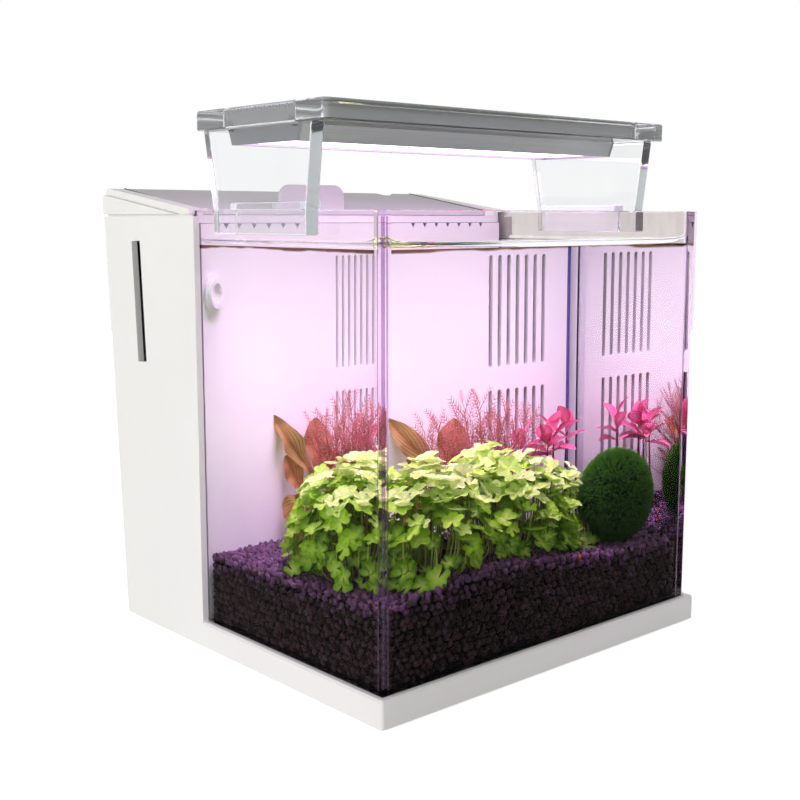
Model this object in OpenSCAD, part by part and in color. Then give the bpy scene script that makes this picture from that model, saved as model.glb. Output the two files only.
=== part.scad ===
/* [Base and rear casing] */
// Width of the base, left to right
base_w = 250; // [230:1:280]
// Depth of the base at the floor, front to back
base_d = 241; // [230:1:260]
// How far the rear wall leans out by the top of the casing
rear_lean = 13; // [8:0.5:18]
// Height of the skirt round the glass
skirt_h = 16; // [15.6:0.2:22]
// Radius of the base's vertical corners
base_r = 1.8; // [1.5:0.1:6]
// Distance from the base's front to the casing's front edge
casing_front = 154.5; // [150:0.5:157]
// Height of the casing's top, where the hood sits
casing_top = 243; // [238:0.5:244]
// Thickness of the casing's rear wall
casing_wall = 3.2; // [2.6:0.1:4]
// Width of the water-level slot in the left cheek
level_slot_w = 9.5; // [5:0.5:12]
// Length of the water-level slot
level_slot_len = 70; // [40:1:90]
// Height of the middle of the level slot
level_slot_z = 194; // [150:1:200]
// Distance from the base's front to the level slot
level_slot_back = 215; // [190:1:222]

/* [Glass box] */
// Thickness of every pane
glass_t = 5; // [4:0.5:6]
// Width of the ledge that the skirt leaves outside the glass
ledge_w = 4; // [3.8:0.1:6]
// Depth of the glass box, front to back
glass_d = 233; // [225:1:233]
// Height of the glass rim
rim_z = 245.7; // [243:0.1:246]
// Thickness of the silicone between two panes
seam_t = 0.6; // [0.4:0.1:1]

/* [Filter partition] */
// Distance from the base's front to the partition's front face
partition_front = 157; // [155:0.5:165]
// Thickness of the partition
partition_t = 4; // [3:0.5:5]
// Top of the partition
partition_top = 239; // [238:0.5:239]
// Notches in each group of the overflow comb
comb_slots = 7; // [3:1:8]
// Spacing of the comb's notches
comb_pitch = 10; // [8:0.5:10]
// Distance of the left comb's middle from the tank's middle
comb_left_x = 75; // [60:0.5:76]
// Distance of the right comb's middle from the tank's middle
comb_right_x = 65.5; // [55:0.5:76]
// Slots in each row of the intake
intake_slots = 7; // [3:1:9]
// Spacing of the intake slots
intake_pitch = 7.4; // [6:0.1:8]
// Width of an intake slot
intake_w = 3; // [2:0.1:4]
// Length of an intake slot
intake_len = 68; // [40:1:70]
// Distance of the intake's middle from the tank's middle
intake_x = 69.5; // [66:0.5:80]

/* [Outlet and pump] */
// Distance of the nozzle from the tank's middle, to the left
nozzle_x = 103; // [100:0.5:104]
// Height of the nozzle
nozzle_z = 201; // [170:1:205]
// Outer diameter of the nozzle
nozzle_od = 17; // [16:0.5:18]
// Bore of the nozzle
nozzle_bore = 11; // [8:0.5:11]
// How far the nozzle stands out of the partition
nozzle_len = 5; // [4:0.5:12]
// Blades on the impeller
impeller_blades = 6; // [4:1:8]

/* [Rear hood] */
// Height of the hood's rails at the front
rail_front_z = 247.2; // [247:0.1:248]
// Height of the hood's rear wall
hood_rear_z = 255.8; // [254:0.1:257]
// Width of each side rail
rail_w = 9.2; // [9:0.1:12]
// Thickness of the lid
lid_t = 3; // [2.5:0.1:3.4]
// Width of the lid's finger tab
tab_w = 43; // [30:1:60]
// Height of the finger tab above the lid
tab_h = 16; // [10:0.5:18]
// Distance of the finger tab's middle from the tank's middle, to the left
tab_x = 29; // [0:1:60]
// Width of the cable notch in the lid's rear edge
notch_w = 15; // [8:0.5:20]
// Distance of the cable notch from the tank's middle, to the right
notch_x = 91; // [60:1:92]

/* [Lamp] */
// Length of the clear top plate, left to right
plate_w = 258; // [256:1:270]
// Depth of the clear top plate
plate_d = 110.5; // [105:0.5:120]
// Thickness of the clear top plate
plate_t = 10; // [8:0.5:10]
// Distance from the base's front to the plate's front edge
plate_front = 34.5; // [30:0.5:40]
// Height of the plate's underside
plate_z = 287; // [280:1:300]
// Thickness of the leg panels
leg_t = 7.7; // [6:0.1:7.7]
// Width of a leg at the top
leg_top_w = 89.5; // [80:0.5:95]
// Width of a leg at the rim
leg_foot_w = 79; // [70:1:85]
// How far a leg's rear edge leans out further than its front edge
leg_rear_lean = 2.5; // [0:0.5:4]
// Depth to which a leg's tongue reaches below the rim
tongue_h = 12; // [8:1:16]
// Depth of the LED housing, front to back
led_d = 60.5; // [56:0.5:62]
// Height of the LED housing below the plate
led_drop = 8; // [6:0.5:10]
// Fins on the LED housing
fins = 24; // [12:1:24]

/* [Aquascape] */
// Height of the soil at the front
soil_front_z = 59; // [50:1:70]
// Height of the soil at the partition
soil_back_z = 54; // [50:1:70]
// Diameter of the moss ball
moss_d = 60; // [40:1:60]

/* [Hidden] */
$fn = 48;
eps = 0.01;

// Frame: X is left to right, the front faces -Y, and depths below are measured from the base's front
overall_d = base_d + rear_lean;
front_y = -overall_d / 2;
function back(d) = front_y + d;

// Heights inside the tray
foot_h = 1.5;
tray_floor_z = 8.5;
foam_t = 2;
pane_z = tray_floor_z + foam_t;
floor_z = pane_z + glass_t;
wall_z = floor_z + seam_t;

// Glass box
glass_w = base_w - 2 * ledge_w;
glass_front_y = back(ledge_w);
glass_back_y = glass_front_y + glass_d;
glass_gap = 0.3;
inner_x = glass_w / 2 - glass_t;
inner_front_y = glass_front_y + glass_t;
inner_back_y = glass_back_y - glass_t;

// Filter chamber
chamber_y = back(partition_front + partition_t);
chamber_d = inner_back_y - chamber_y;
baffle_t = 3;
baffle_left_x = -46;
baffle_right_x = 37;
underflow_h = 20;
overflow_z = 205;
partition_gap = 0.2;
intake_slit = 3.2;

// Outlet and pump
spout_y = chamber_y + 20;
pump_w = 42;
pump_d = 40;
pump_h = 44;
cup_h = 6;
cup_r = 7;
pump_x = -91;
pump_front_y = spout_y - 6;
pump_z = floor_z + cup_h;
impeller_z = pump_z + 20;
volute_r = 15;
volute_d = 11;
rotor_bore_r = 9;
rotor_d = 23;
rotor_r = 8.4;
impeller_r = 13;
shaft_r = 1.5;
shaft_fit = 0.06;
cover_t = 4;
cover_grip = 3;
spigot_r = 6.5;
spigot_h = 10;
pipe_wall = 2;
pipe_r = spigot_r + pipe_wall;
bend_r = 12;

// Hood
hood_front = 158.5;
hood_gap = 0.4;
groove_h = 1.2;
groove_in = 2;
rear_bar_t = 3.8;
rail_in = base_w / 2 - rail_w;
lid_half = rail_in - hood_gap;
hinge_r = 3.4;
hinge_back = overall_d - rear_bar_t - hood_gap - hinge_r - 0.2;
hinge_z = 255.8;
pin_r = 1.5;
pin_fit = 0.05;
pin_grip = 6;
lid_front = 170.5;
lid_front_z = 247;
lid_rear_z = hinge_z + hinge_r;

// Lamp
plate_top = plate_z + plate_t;
led_front = plate_front + 29;
led_half = 115.4;
cap_t = 2;
led_z = plate_z - led_drop;
flange_w = 12;
flange_t = 1.5;
fin_floor = plate_top - 5;
leg_x = glass_w / 2 + 0.3;
clip_x = inner_x - 3.2;
clip_tongue_t = 2.7;
clip_pad_t = 4;
clip_d = [58, 118];
led_taper = 3;
diffuser_t = 2;
diffuser_lip = 1.2;
rim_wall = 5;
gland_x = 95;
gland_r = 2;

// A slab in the XY plane with rounded corners, from depth d0 to d1
module slab(w, d0, d1, r, h) {
    linear_extrude(h)
        translate([0, back((d0 + d1) / 2)])
            rounded(w, d1 - d0, r);
}

// A rectangle with round corners, centred
module rounded(w, d, r) {
    square([w - 2 * r, d], center = true);
    square([w, d - 2 * r], center = true);
    for (x = [-1, 1], y = [-1, 1])
        translate([x * (w / 2 - r), y * (d / 2 - r)])
            circle(r = r);
}

// An outline of [depth from the base's front, height] points, carried from x0 to x1
module along_x(x0, x1, points) {
    translate([x0, front_y, 0])
        rotate([90, 0, 90])
            linear_extrude(x1 - x0)
                polygon(points);
}

// A block from one corner to the other, with depths measured from the base's front
module block(x, d, z) {
    translate([x[0], back(d[0]), z[0]])
        cube([x[1] - x[0], d[1] - d[0], z[1] - z[0]]);
}

// An upright slot with round ends through a panel, its axis along Y
module slot_y(x, z, w, len, d0, d1) {
    for (end = [-1, 1])
        translate([x, back(d0), z + end * (len - w) / 2])
            rotate([-90, 0, 0])
                cylinder(h = d1 - d0, d = w, $fn = 24);
    block([x - w / 2, x + w / 2], [d0, d1], [z - (len - w) / 2, z + (len - w) / 2]);
}

// Base tray with its skirt, and the casing that wraps the rear of the glass box
module tank_shell() {
    pocket_w = glass_w + 2 * glass_gap;
    pocket_back = ledge_w + glass_d + glass_gap;
    rib_t = 2.5;
    rear_cells = 8;
    rear_cell_w = (pocket_w - (rear_cells - 1) * rib_t) / rear_cells;
    cells = 4;
    cell_w = (base_w - 2 * ledge_w - (cells - 1) * rib_t) / cells;
    cell_d = (base_d - 2 * ledge_w - (cells - 1) * rib_t) / cells;
    cell_h = 3;
    chamfer = 1.2;
    color("white")
        difference() {
            union() {
                translate([0, 0, foot_h])
                    slab(base_w, 0, base_d, base_r, skirt_h - foot_h - chamfer);
                hull() {
                    translate([0, 0, skirt_h - chamfer - eps])
                        slab(base_w, 0, base_d, base_r, eps);
                    translate([0, 0, skirt_h - eps])
                        slab(base_w - 2 * chamfer, chamfer, base_d - chamfer, base_r - chamfer, eps);
                }
                intersection() {
                    hull() {
                        translate([0, 0, foot_h])
                            slab(base_w, 0, base_d, base_r, eps);
                        translate([0, 0, casing_top - eps])
                            slab(base_w, 0, overall_d, base_r, eps);
                    }
                    block([-base_w, base_w], [casing_front, overall_d + eps], [foot_h, casing_top]);
                }
            }
            block([-pocket_w / 2, pocket_w / 2], [ledge_w - glass_gap, pocket_back],
                  [tray_floor_z, rim_z]);
            for (i = [0 : rear_cells - 1]) {
                x = -pocket_w / 2 + i * (rear_cell_w + rib_t);
                along_x(x, x + rear_cell_w, [
                    [pocket_back - eps, 4 * skirt_h],
                    [pocket_back - eps, rim_z],
                    [overall_d - casing_wall, rim_z],
                    [base_d + rear_lean * 4 * skirt_h / casing_top - casing_wall, 4 * skirt_h]
                ]);
            }
            translate([-base_w / 2, back(level_slot_back), level_slot_z])
                rotate([0, -atan(rear_lean / casing_top), -90])
                    cube([level_slot_w, 4 * ledge_w, level_slot_len], center = true);
            for (i = [0 : cells - 1], j = [0 : cells - 1]) {
                x = -base_w / 2 + ledge_w + i * (cell_w + rib_t);
                d = ledge_w + j * (cell_d + rib_t);
                block([x, x + cell_w], [d, d + cell_d], [foot_h - eps, foot_h + cell_h]);
            }
        }
}

// Soft mat that evens out the load under the bottom pane
module foam_mat() {
    color("dimgray")
        block([-glass_w / 2 + 1, glass_w / 2 - 1], [ledge_w + 1, ledge_w + glass_d - 1],
              [tray_floor_z, pane_z]);
}

// Four feet, set into the corner cells of the tray
module rubber_feet() {
    inset = 34;
    seat_z = foot_h + 3;
    color("gray")
        for (x = [-1, 1], d = [inset, base_d - inset])
            translate([x * (base_w / 2 - inset), back(d), 0]) {
                cylinder(h = seat_z - 0.8, d = 22);
                translate([0, 0, seat_z - 0.8])
                    cylinder(h = 0.8, d = 26);
            }
}

module glass_bottom() {
    color("lightcyan", 0.4)
        block([-glass_w / 2, glass_w / 2], [ledge_w, ledge_w + glass_d], [pane_z, floor_z]);
}

// Front and back panes run the full width and cover the ends of the side panes
module end_pane(d) {
    color("lightcyan", 0.4)
        block([-glass_w / 2, glass_w / 2], [d, d + glass_t], [wall_z, rim_z]);
}

module glass_front() {
    end_pane(ledge_w);
}

module glass_back() {
    end_pane(ledge_w + glass_d - glass_t);
}

// Side panes stand between the front and back panes, a silicone joint away from each
module side_pane(x) {
    color("lightcyan", 0.4)
        block([x, x + glass_t], [ledge_w + glass_t + seam_t, ledge_w + glass_d - glass_t - seam_t],
              [wall_z, rim_z]);
}

module glass_left() {
    side_pane(-glass_w / 2);
}

module glass_right() {
    side_pane(glass_w / 2 - glass_t);
}

// Bond under the four walls and in the four upright corners
module silicone_seams() {
    color("whitesmoke", 0.6) {
        difference() {
            block([-glass_w / 2, glass_w / 2], [ledge_w, ledge_w + glass_d], [floor_z, wall_z]);
            block([-inner_x, inner_x], [ledge_w + glass_t, ledge_w + glass_d - glass_t],
                  [floor_z - 1, wall_z + 1]);
        }
        for (x = [-glass_w / 2, inner_x], d = [ledge_w + glass_t, ledge_w + glass_d - glass_t - seam_t])
            block([x, x + glass_t], [d, d + seam_t], [wall_z, rim_z]);
    }
}

// White panel before the filter chamber: overflow comb at the top, two rows of intake slots, nozzle hole,
// and an upright slit at its right end
module filter_partition() {
    half = inner_x - partition_gap;
    cut0 = partition_front - 1;
    cut1 = partition_front + partition_t + 1;
    notch_half = 1.9;
    notch_h = 3.2;
    row_z = [186, 104];
    color("white")
        difference() {
            block([-half, inner_x - intake_slit], [partition_front, partition_front + partition_t],
                  [floor_z, partition_top]);
            for (mid = [-comb_left_x, comb_right_x], i = [0 : comb_slots - 1]) {
                x = mid + (i - (comb_slots - 1) / 2) * comb_pitch;
                translate([x, back(cut1), partition_top])
                    rotate([90, 0, 0])
                        linear_extrude(cut1 - cut0)
                            polygon([[-notch_half, eps], [0, -notch_h], [notch_half, eps]]);
            }
            for (z = row_z, i = [0 : intake_slots - 1])
                slot_y(intake_x + (i - (intake_slots - 1) / 2) * intake_pitch, z,
                       intake_w, intake_len, cut0, cut1);
            translate([-nozzle_x, back(cut0), nozzle_z])
                rotate([-90, 0, 0])
                    cylinder(h = cut1 - cut0, r = spigot_r + 0.1);
        }
}

// Short thick-walled outlet: flange on the partition's face, tail through it into the delivery pipe
module outlet_nozzle() {
    flange_t = 2;
    tail = partition_t + 12;
    color("white")
        translate([-nozzle_x, back(partition_front), nozzle_z])
            rotate([90, 0, 0])
                difference() {
                    union() {
                        cylinder(h = flange_t, d = nozzle_od + 5);
                        cylinder(h = nozzle_len, d = nozzle_od);
                        translate([0, 0, -tail])
                            cylinder(h = tail, r = spigot_r);
                    }
                    translate([0, 0, -tail - 1])
                        cylinder(h = tail + 2, d = nozzle_bore - 2);
                    translate([0, 0, nozzle_len - 3])
                        cylinder(h = 4, d = nozzle_bore);
                }
}

// Chamber dividers: water passes under the right one and over the left one
module chamber_baffle_left() {
    color("white")
        block([baffle_left_x, baffle_left_x + baffle_t],
              [partition_front + partition_t, partition_front + partition_t + chamber_d],
              [floor_z, overflow_z]);
}

module chamber_baffle_right() {
    color("white")
        block([baffle_right_x, baffle_right_x + baffle_t],
              [partition_front + partition_t, partition_front + partition_t + chamber_d],
              [floor_z + underflow_h, partition_top - 7]);
}

// Sponge block behind the intake, with upright flutes on its intake side
module filter_sponge() {
    gap = 2;
    flutes = 6;
    flute_r = 3.5;
    x0 = baffle_right_x + baffle_t + gap;
    x1 = inner_x - gap;
    d0 = partition_front + partition_t + gap;
    pitch = (x1 - x0) / flutes;
    color("darkslateblue")
        difference() {
            block([x0, x1], [d0, d0 + chamber_d - 2 * gap], [floor_z, floor_z + 170]);
            for (i = [0 : flutes - 1])
                translate([x0 + (i + 0.5) * pitch, back(d0), floor_z - 1])
                    cylinder(h = 172, r = flute_r, $fn = 24);
        }
}

// Lift-out basket on four legs, with slotted walls and floor
basket_x0 = baffle_left_x + baffle_t + 2;
basket_x1 = baffle_right_x - 2;
basket_d0 = partition_front + partition_t + 2;
basket_d1 = basket_d0 + chamber_d - 4;
basket_z = floor_z + 30;
basket_h = 112;
basket_wall = 2;

module media_basket() {
    slots = 7;
    slot_w = 5;
    leg = 6;
    rim = 10;
    pitch_x = (basket_x1 - basket_x0) / slots;
    pitch_d = (basket_d1 - basket_d0) / slots;
    color("whitesmoke") {
        difference() {
            block([basket_x0, basket_x1], [basket_d0, basket_d1], [basket_z, basket_z + basket_h]);
            block([basket_x0 + basket_wall, basket_x1 - basket_wall],
                  [basket_d0 + basket_wall, basket_d1 - basket_wall],
                  [basket_z + basket_wall, basket_z + basket_h + 1]);
            for (i = [0 : slots - 1]) {
                x = basket_x0 + (i + 0.5) * pitch_x;
                d = basket_d0 + (i + 0.5) * pitch_d;
                block([x - slot_w / 2, x + slot_w / 2], [basket_d0 - 1, basket_d1 + 1],
                      [basket_z + rim, basket_z + basket_h - rim]);
                block([basket_x0 - 1, basket_x1 + 1], [d - slot_w / 2, d + slot_w / 2],
                      [basket_z + rim, basket_z + basket_h - rim]);
                block([x - slot_w / 2, x + slot_w / 2], [basket_d0 + leg, basket_d1 - leg],
                      [basket_z - 1, basket_z + basket_wall + 1]);
            }
        }
        for (x = [basket_x0, basket_x1 - leg], d = [basket_d0, basket_d1 - leg])
            block([x, x + leg], [d, d + leg], [floor_z, basket_z]);
    }
}

// Ceramic biological media, stacked in rows on the basket's floor
module ceramic_rings() {
    nx = 3;
    nd = 3;
    layers = 5;
    ring_d = 20;
    ring_bore = 10;
    ring_h = 21;
    ring_edge = 0.8;
    span_x = basket_x1 - basket_x0 - 2 * basket_wall;
    span_d = basket_d1 - basket_d0 - 2 * basket_wall;
    color("lightgray")
        for (i = [0 : nx - 1], j = [0 : nd - 1], k = [0 : layers - 1])
            translate([
                basket_x0 + basket_wall + (i + 0.5) * span_x / nx,
                back(basket_d0 + basket_wall + (j + 0.5) * span_d / nd),
                basket_z + basket_wall + k * ring_h
            ])
                difference() {
                    union() {
                        cylinder(h = ring_h, d = ring_d - 2 * ring_edge, $fn = 24);
                        translate([0, 0, ring_edge])
                            cylinder(h = ring_h - 2 * ring_edge, d = ring_d, $fn = 24);
                    }
                    translate([0, 0, -1])
                        cylinder(h = ring_h + 2, d = ring_bore, $fn = 24);
                }
}

// A cylinder on the impeller's axis, from depth d0 behind the pump's front to d1
module on_axis(d0, d1, r) {
    translate([pump_x, pump_front_y + d0, impeller_z])
        rotate([-90, 0, 0])
            cylinder(h = d1 - d0, r = r);
}

// Pump casing: volute and rotor well on one axis, tangential outlet with a spigot, motor block behind
module pump_body() {
    corner = 4;
    outlet_r = 4.5;
    fin_t = 1.6;
    color("dimgray")
        difference() {
            union() {
                translate([pump_x, pump_front_y + pump_d / 2, pump_z])
                    linear_extrude(pump_h)
                        rounded(pump_w, pump_d, corner);
                translate([-nozzle_x, spout_y, pump_z + pump_h - 1])
                    cylinder(h = spigot_h + 1, r = spigot_r);
            }
            on_axis(-1, volute_d, volute_r);
            on_axis(0, volute_d + rotor_d, rotor_bore_r);
            on_axis(0, volute_d + rotor_d + 3, shaft_r);
            translate([-nozzle_x, spout_y, impeller_z])
                cylinder(h = pump_h + spigot_h, r = outlet_r);
            for (z = [pump_z + 6 : 5 : pump_z + pump_h - 6])
                translate([pump_x - pump_w / 2 - 1, pump_front_y + pump_d - 2, z])
                    cube([pump_w + 2, 3, fin_t]);
        }
}

// Front cover of the volute: locating rim, shaft boss and round intake grille
module pump_cover() {
    holes = 8;
    hole_r = 2;
    ring_r = 9;
    boss_r = 4;
    color("dimgray")
        difference() {
            union() {
                translate([pump_x, pump_front_y - cover_t, pump_z + 2])
                    translate([-pump_w / 2 + 2, 0, 0])
                        cube([pump_w - 4, cover_t, pump_h - 6]);
                on_axis(-cover_t, cover_grip, boss_r);
            }
            on_axis(-cover_t + 1.5, cover_grip + 1, shaft_r);
            for (i = [0 : holes - 1])
                translate([
                    pump_x + ring_r * cos(i * 360 / holes),
                    pump_front_y - cover_t - 1,
                    impeller_z + ring_r * sin(i * 360 / holes)
                ])
                    rotate([-90, 0, 0])
                        cylinder(h = cover_t + 2, r = hole_r, $fn = 24);
        }
}

// Ceramic shaft, held by the cover's boss and the end of the rotor well
module pump_shaft() {
    color("white")
        on_axis(-cover_t + 1.5, volute_d + rotor_d + 3, shaft_r);
}

// Impeller: straight blades on a disc, in one piece with the magnet rotor
module pump_impeller() {
    disc_t = 1.6;
    blade_t = 1.8;
    blade_front = cover_grip + 1;
    disc_at = volute_d - 1 - disc_t;
    color("royalblue")
        difference() {
            union() {
                on_axis(disc_at, disc_at + disc_t, impeller_r);
                on_axis(disc_at, volute_d + rotor_d - 1, rotor_r);
                on_axis(blade_front, disc_at + eps, 4);
                for (i = [0 : impeller_blades - 1])
                    translate([pump_x, pump_front_y + blade_front, impeller_z])
                        rotate([0, i * 360 / impeller_blades, 0])
                            translate([2.5, 0, -blade_t / 2])
                                cube([impeller_r - 3, disc_at - blade_front + eps, blade_t]);
            }
            on_axis(0, volute_d + rotor_d + 1, shaft_r + shaft_fit);
        }
}

// Four cups that hold the pump off the bottom pane
module suction_cups() {
    color("gray")
        for (x = [-1, 1], d = [-1, 1])
            translate([pump_x + x * 12, pump_front_y + pump_d / 2 + d * 11, floor_z]) {
                cylinder(h = 3, r1 = cup_r, r2 = 3);
                translate([0, 0, 3 - eps])
                    cylinder(h = cup_h - 3 + eps, r = 3);
            }
}

// Rigid pipe from the pump's spigot, with a quarter bend to the nozzle's tail
module delivery_pipe() {
    foot = pump_z + pump_h;
    straight = nozzle_z - bend_r - foot;
    reach = spout_y - bend_r - chamber_y;
    color("gainsboro") {
        translate([-nozzle_x, spout_y, foot])
            difference() {
                cylinder(h = straight, r = pipe_r);
                translate([0, 0, -1])
                    cylinder(h = straight + 2, r = spigot_r);
            }
        translate([-nozzle_x, spout_y - bend_r, nozzle_z - bend_r])
            rotate([90, 0, 90])
                rotate_extrude(angle = 90)
                    translate([bend_r, 0])
                        difference() {
                            circle(r = pipe_r);
                            circle(r = spigot_r);
                        }
        translate([-nozzle_x, spout_y - bend_r, nozzle_z])
            rotate([90, 0, 0])
                difference() {
                    cylinder(h = reach, r = pipe_r);
                    translate([0, 0, -1])
                        cylinder(h = reach + 2, r = spigot_r);
                }
    }
}

// Side outline of the hood: round nose, rising rail, a round end on the hinge axis, low rear wall
function hood_outline() =
    let (nose_r = (rail_front_z - casing_top) / 2, rear_r = 2.5, steps = 8)
    concat(
        [for (i = [0 : steps])
            let (a = 270 - 180 * i / steps)
            [hood_front + nose_r + nose_r * cos(a), casing_top + nose_r + nose_r * sin(a)]],
        [for (i = [0 : steps])
            let (a = 95 - 95 * i / steps)
            [hinge_back + hinge_r * cos(a), hinge_z + hinge_r * sin(a)]],
        [for (i = [0 : steps])
            let (a = 90 - 90 * i / steps)
            [overall_d - rear_r + rear_r * cos(a), hood_rear_z - rear_r + rear_r * sin(a)]],
        [[overall_d, casing_top]]
    );

// Wedge frame on the casing: rails over the side panes, rear wall, and a front bar on two saddles
module hood_frame() {
    groove_top = rim_z + 0.2;
    bar_d = [161, 174];
    saddle_d = [161, lid_front - 1.2];
    bar_z = [239.3, 243.6];
    saddle_x = inner_x - hood_gap;
    saddle_w = 4;
    shadow = 1;
    strip = 3.6;
    line_end = hinge_back + hinge_r + 6;
    rise = (lid_rear_z - rail_front_z) / (hinge_back - hood_front - 2);
    color("white")
        difference() {
            union() {
                for (side = [0, 1])
                    mirror([side, 0, 0]) {
                        along_x(rail_in, base_w / 2, hood_outline());
                        block([saddle_x - saddle_w, saddle_x], saddle_d, [bar_z[0], rail_front_z]);
                        block([saddle_x - saddle_w, rail_in + 1], saddle_d, [groove_top, rail_front_z]);
                    }
                intersection() {
                    along_x(-rail_in - eps, rail_in + eps, hood_outline());
                    block([-base_w, base_w], [overall_d - rear_bar_t, overall_d + 1], [casing_top, 300]);
                }
                block([-saddle_x, saddle_x], bar_d, bar_z);
            }
            for (side = [0, 1])
                mirror([side, 0, 0]) {
                    block([inner_x - hood_gap, glass_w / 2 + hood_gap],
                          [casing_front, ledge_w + glass_d + hood_gap], [bar_z[0] - 1, groove_top]);
                    translate([rail_in - 1, back(hinge_back), hinge_z])
                        rotate([0, 90, 0])
                            cylinder(h = pin_grip + 1, r = pin_r);
                    along_x(base_w / 2 - 2 * shadow, base_w / 2 + 1, [
                        [hood_front + 8, rail_front_z + 6 * rise - strip],
                        [line_end, lid_rear_z + rise * (hinge_r + 6) - strip],
                        [line_end, lid_rear_z + rise * (hinge_r + 6) - strip - shadow],
                        [hood_front + 8, rail_front_z + 6 * rise - strip - shadow]
                    ]);
                }
            difference() {
                block([-base_w, base_w], [hood_front - 1, overall_d + 1],
                      [casing_top - eps, casing_top + groove_h]);
                block([-base_w / 2 + groove_in, base_w / 2 - groove_in], [0, overall_d - groove_in],
                      [casing_top - 1, casing_top + groove_h + 1]);
            }
        }
}

// Two steel pins, pressed into the rails, on which the lid turns
module lid_hinge_pins() {
    color("silver")
        for (side = [-1, 1])
            translate([side < 0 ? -rail_in - pin_grip : rail_in - pin_grip, back(hinge_back), hinge_z])
                rotate([0, 90, 0])
                    cylinder(h = 2 * pin_grip, r = pin_r);
}

// Sloped lid: plate with stiffening ribs, hinge barrel, cable notch and upstanding finger tab
module hood_lid() {
    slope = (lid_rear_z - lid_front_z) / (hinge_back - lid_front);
    function top_z(d) = lid_front_z + slope * (d - lid_front);
    rib_t = 2;
    rib_h = 3;
    rib_d = [lid_front + 6, hinge_back - 8];
    tab_r = 0.45 * tab_h;
    notch_d = 9;
    color("gainsboro")
        difference() {
            union() {
                along_x(-lid_half, lid_half, [
                    [lid_front, lid_front_z],
                    [hinge_back, lid_rear_z],
                    [hinge_back, lid_rear_z - lid_t],
                    [lid_front, lid_front_z - lid_t]
                ]);
                for (x = [-96, -48, 0, 48, 78])
                    along_x(x - rib_t / 2, x + rib_t / 2, [
                        [rib_d[0], top_z(rib_d[0]) - lid_t / 2],
                        [rib_d[1], top_z(rib_d[1]) - lid_t / 2],
                        [rib_d[1], top_z(rib_d[1]) - lid_t - rib_h],
                        [rib_d[0], top_z(rib_d[0]) - lid_t]
                    ]);
                translate([-lid_half, back(hinge_back), hinge_z])
                    rotate([0, 90, 0])
                        cylinder(h = 2 * lid_half, r = hinge_r);
                translate([-tab_x, back(lid_front + lid_t), lid_front_z - lid_t / 2])
                    rotate([90, 0, 0])
                        linear_extrude(lid_t) {
                            translate([-tab_w / 2, 0])
                                square([tab_w, tab_h - tab_r]);
                            translate([-tab_w / 2 + tab_r, 0])
                                square([tab_w - 2 * tab_r, tab_h]);
                            for (side = [-1, 1])
                                translate([side * (tab_w / 2 - tab_r), tab_h - tab_r])
                                    circle(r = tab_r);
                        }
            }
            for (side = [-1, 1])
                translate([side < 0 ? -lid_half - 1 : lid_half - pin_grip, back(hinge_back), hinge_z])
                    rotate([0, 90, 0])
                        cylinder(h = pin_grip + 1, r = pin_r + pin_fit);
            block([notch_x - notch_w / 2, notch_x + notch_w / 2], [hinge_back - notch_d, overall_d],
                  [hinge_z - 20, hinge_z + 20]);
        }
}

// Clear acrylic plate with a window in which the LED housing hangs
module lamp_plate() {
    corner = 4;
    fit = 0.3;
    color("lightcyan", 0.4)
        difference() {
            translate([0, 0, plate_z])
                slab(plate_w, plate_front, plate_front + plate_d, corner, plate_t);
            block([-led_half - cap_t - 2.4, led_half + cap_t + 2.4],
                  [led_front - fit, led_front + led_d + fit], [plate_z - 1, plate_top + 1]);
        }
}

// Clear leg outside a side pane: a trapezoid from the plate to the rim, with a tongue below it
leg_mid = led_front + led_d / 2 - 4.9;

module lamp_leg(side) {
    foot = leg_foot_w / 2;
    top = leg_top_w / 2;
    color("lightcyan", 0.4)
        along_x(side < 0 ? -leg_x - leg_t : leg_x, side < 0 ? -leg_x : leg_x + leg_t, [
            [leg_mid - foot, rim_z - tongue_h],
            [leg_mid - foot, rim_z],
            [leg_mid - top, plate_z],
            [leg_mid + top + leg_rear_lean, plate_z],
            [leg_mid + foot, rim_z],
            [leg_mid + foot, rim_z - tongue_h]
        ]);
}

module lamp_leg_left() {
    lamp_leg(-1);
}

module lamp_leg_right() {
    lamp_leg(1);
}

// Clear hook bonded to the leg: a pad that rests on the rim and a tongue down the pane's inner face
module lamp_clip(side) {
    pad = [clip_x, leg_x];
    tongue = [clip_x, clip_x + clip_tongue_t];
    color("lightcyan", 0.4) {
        block(side < 0 ? [-pad[1], -pad[0]] : pad, clip_d, [rim_z, rim_z + clip_pad_t]);
        block(side < 0 ? [-tongue[1], -tongue[0]] : tongue, clip_d, [rim_z - tongue_h, rim_z + eps]);
    }
}

module lamp_clip_left() {
    lamp_clip(-1);
}

module lamp_clip_right() {
    lamp_clip(1);
}

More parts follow.
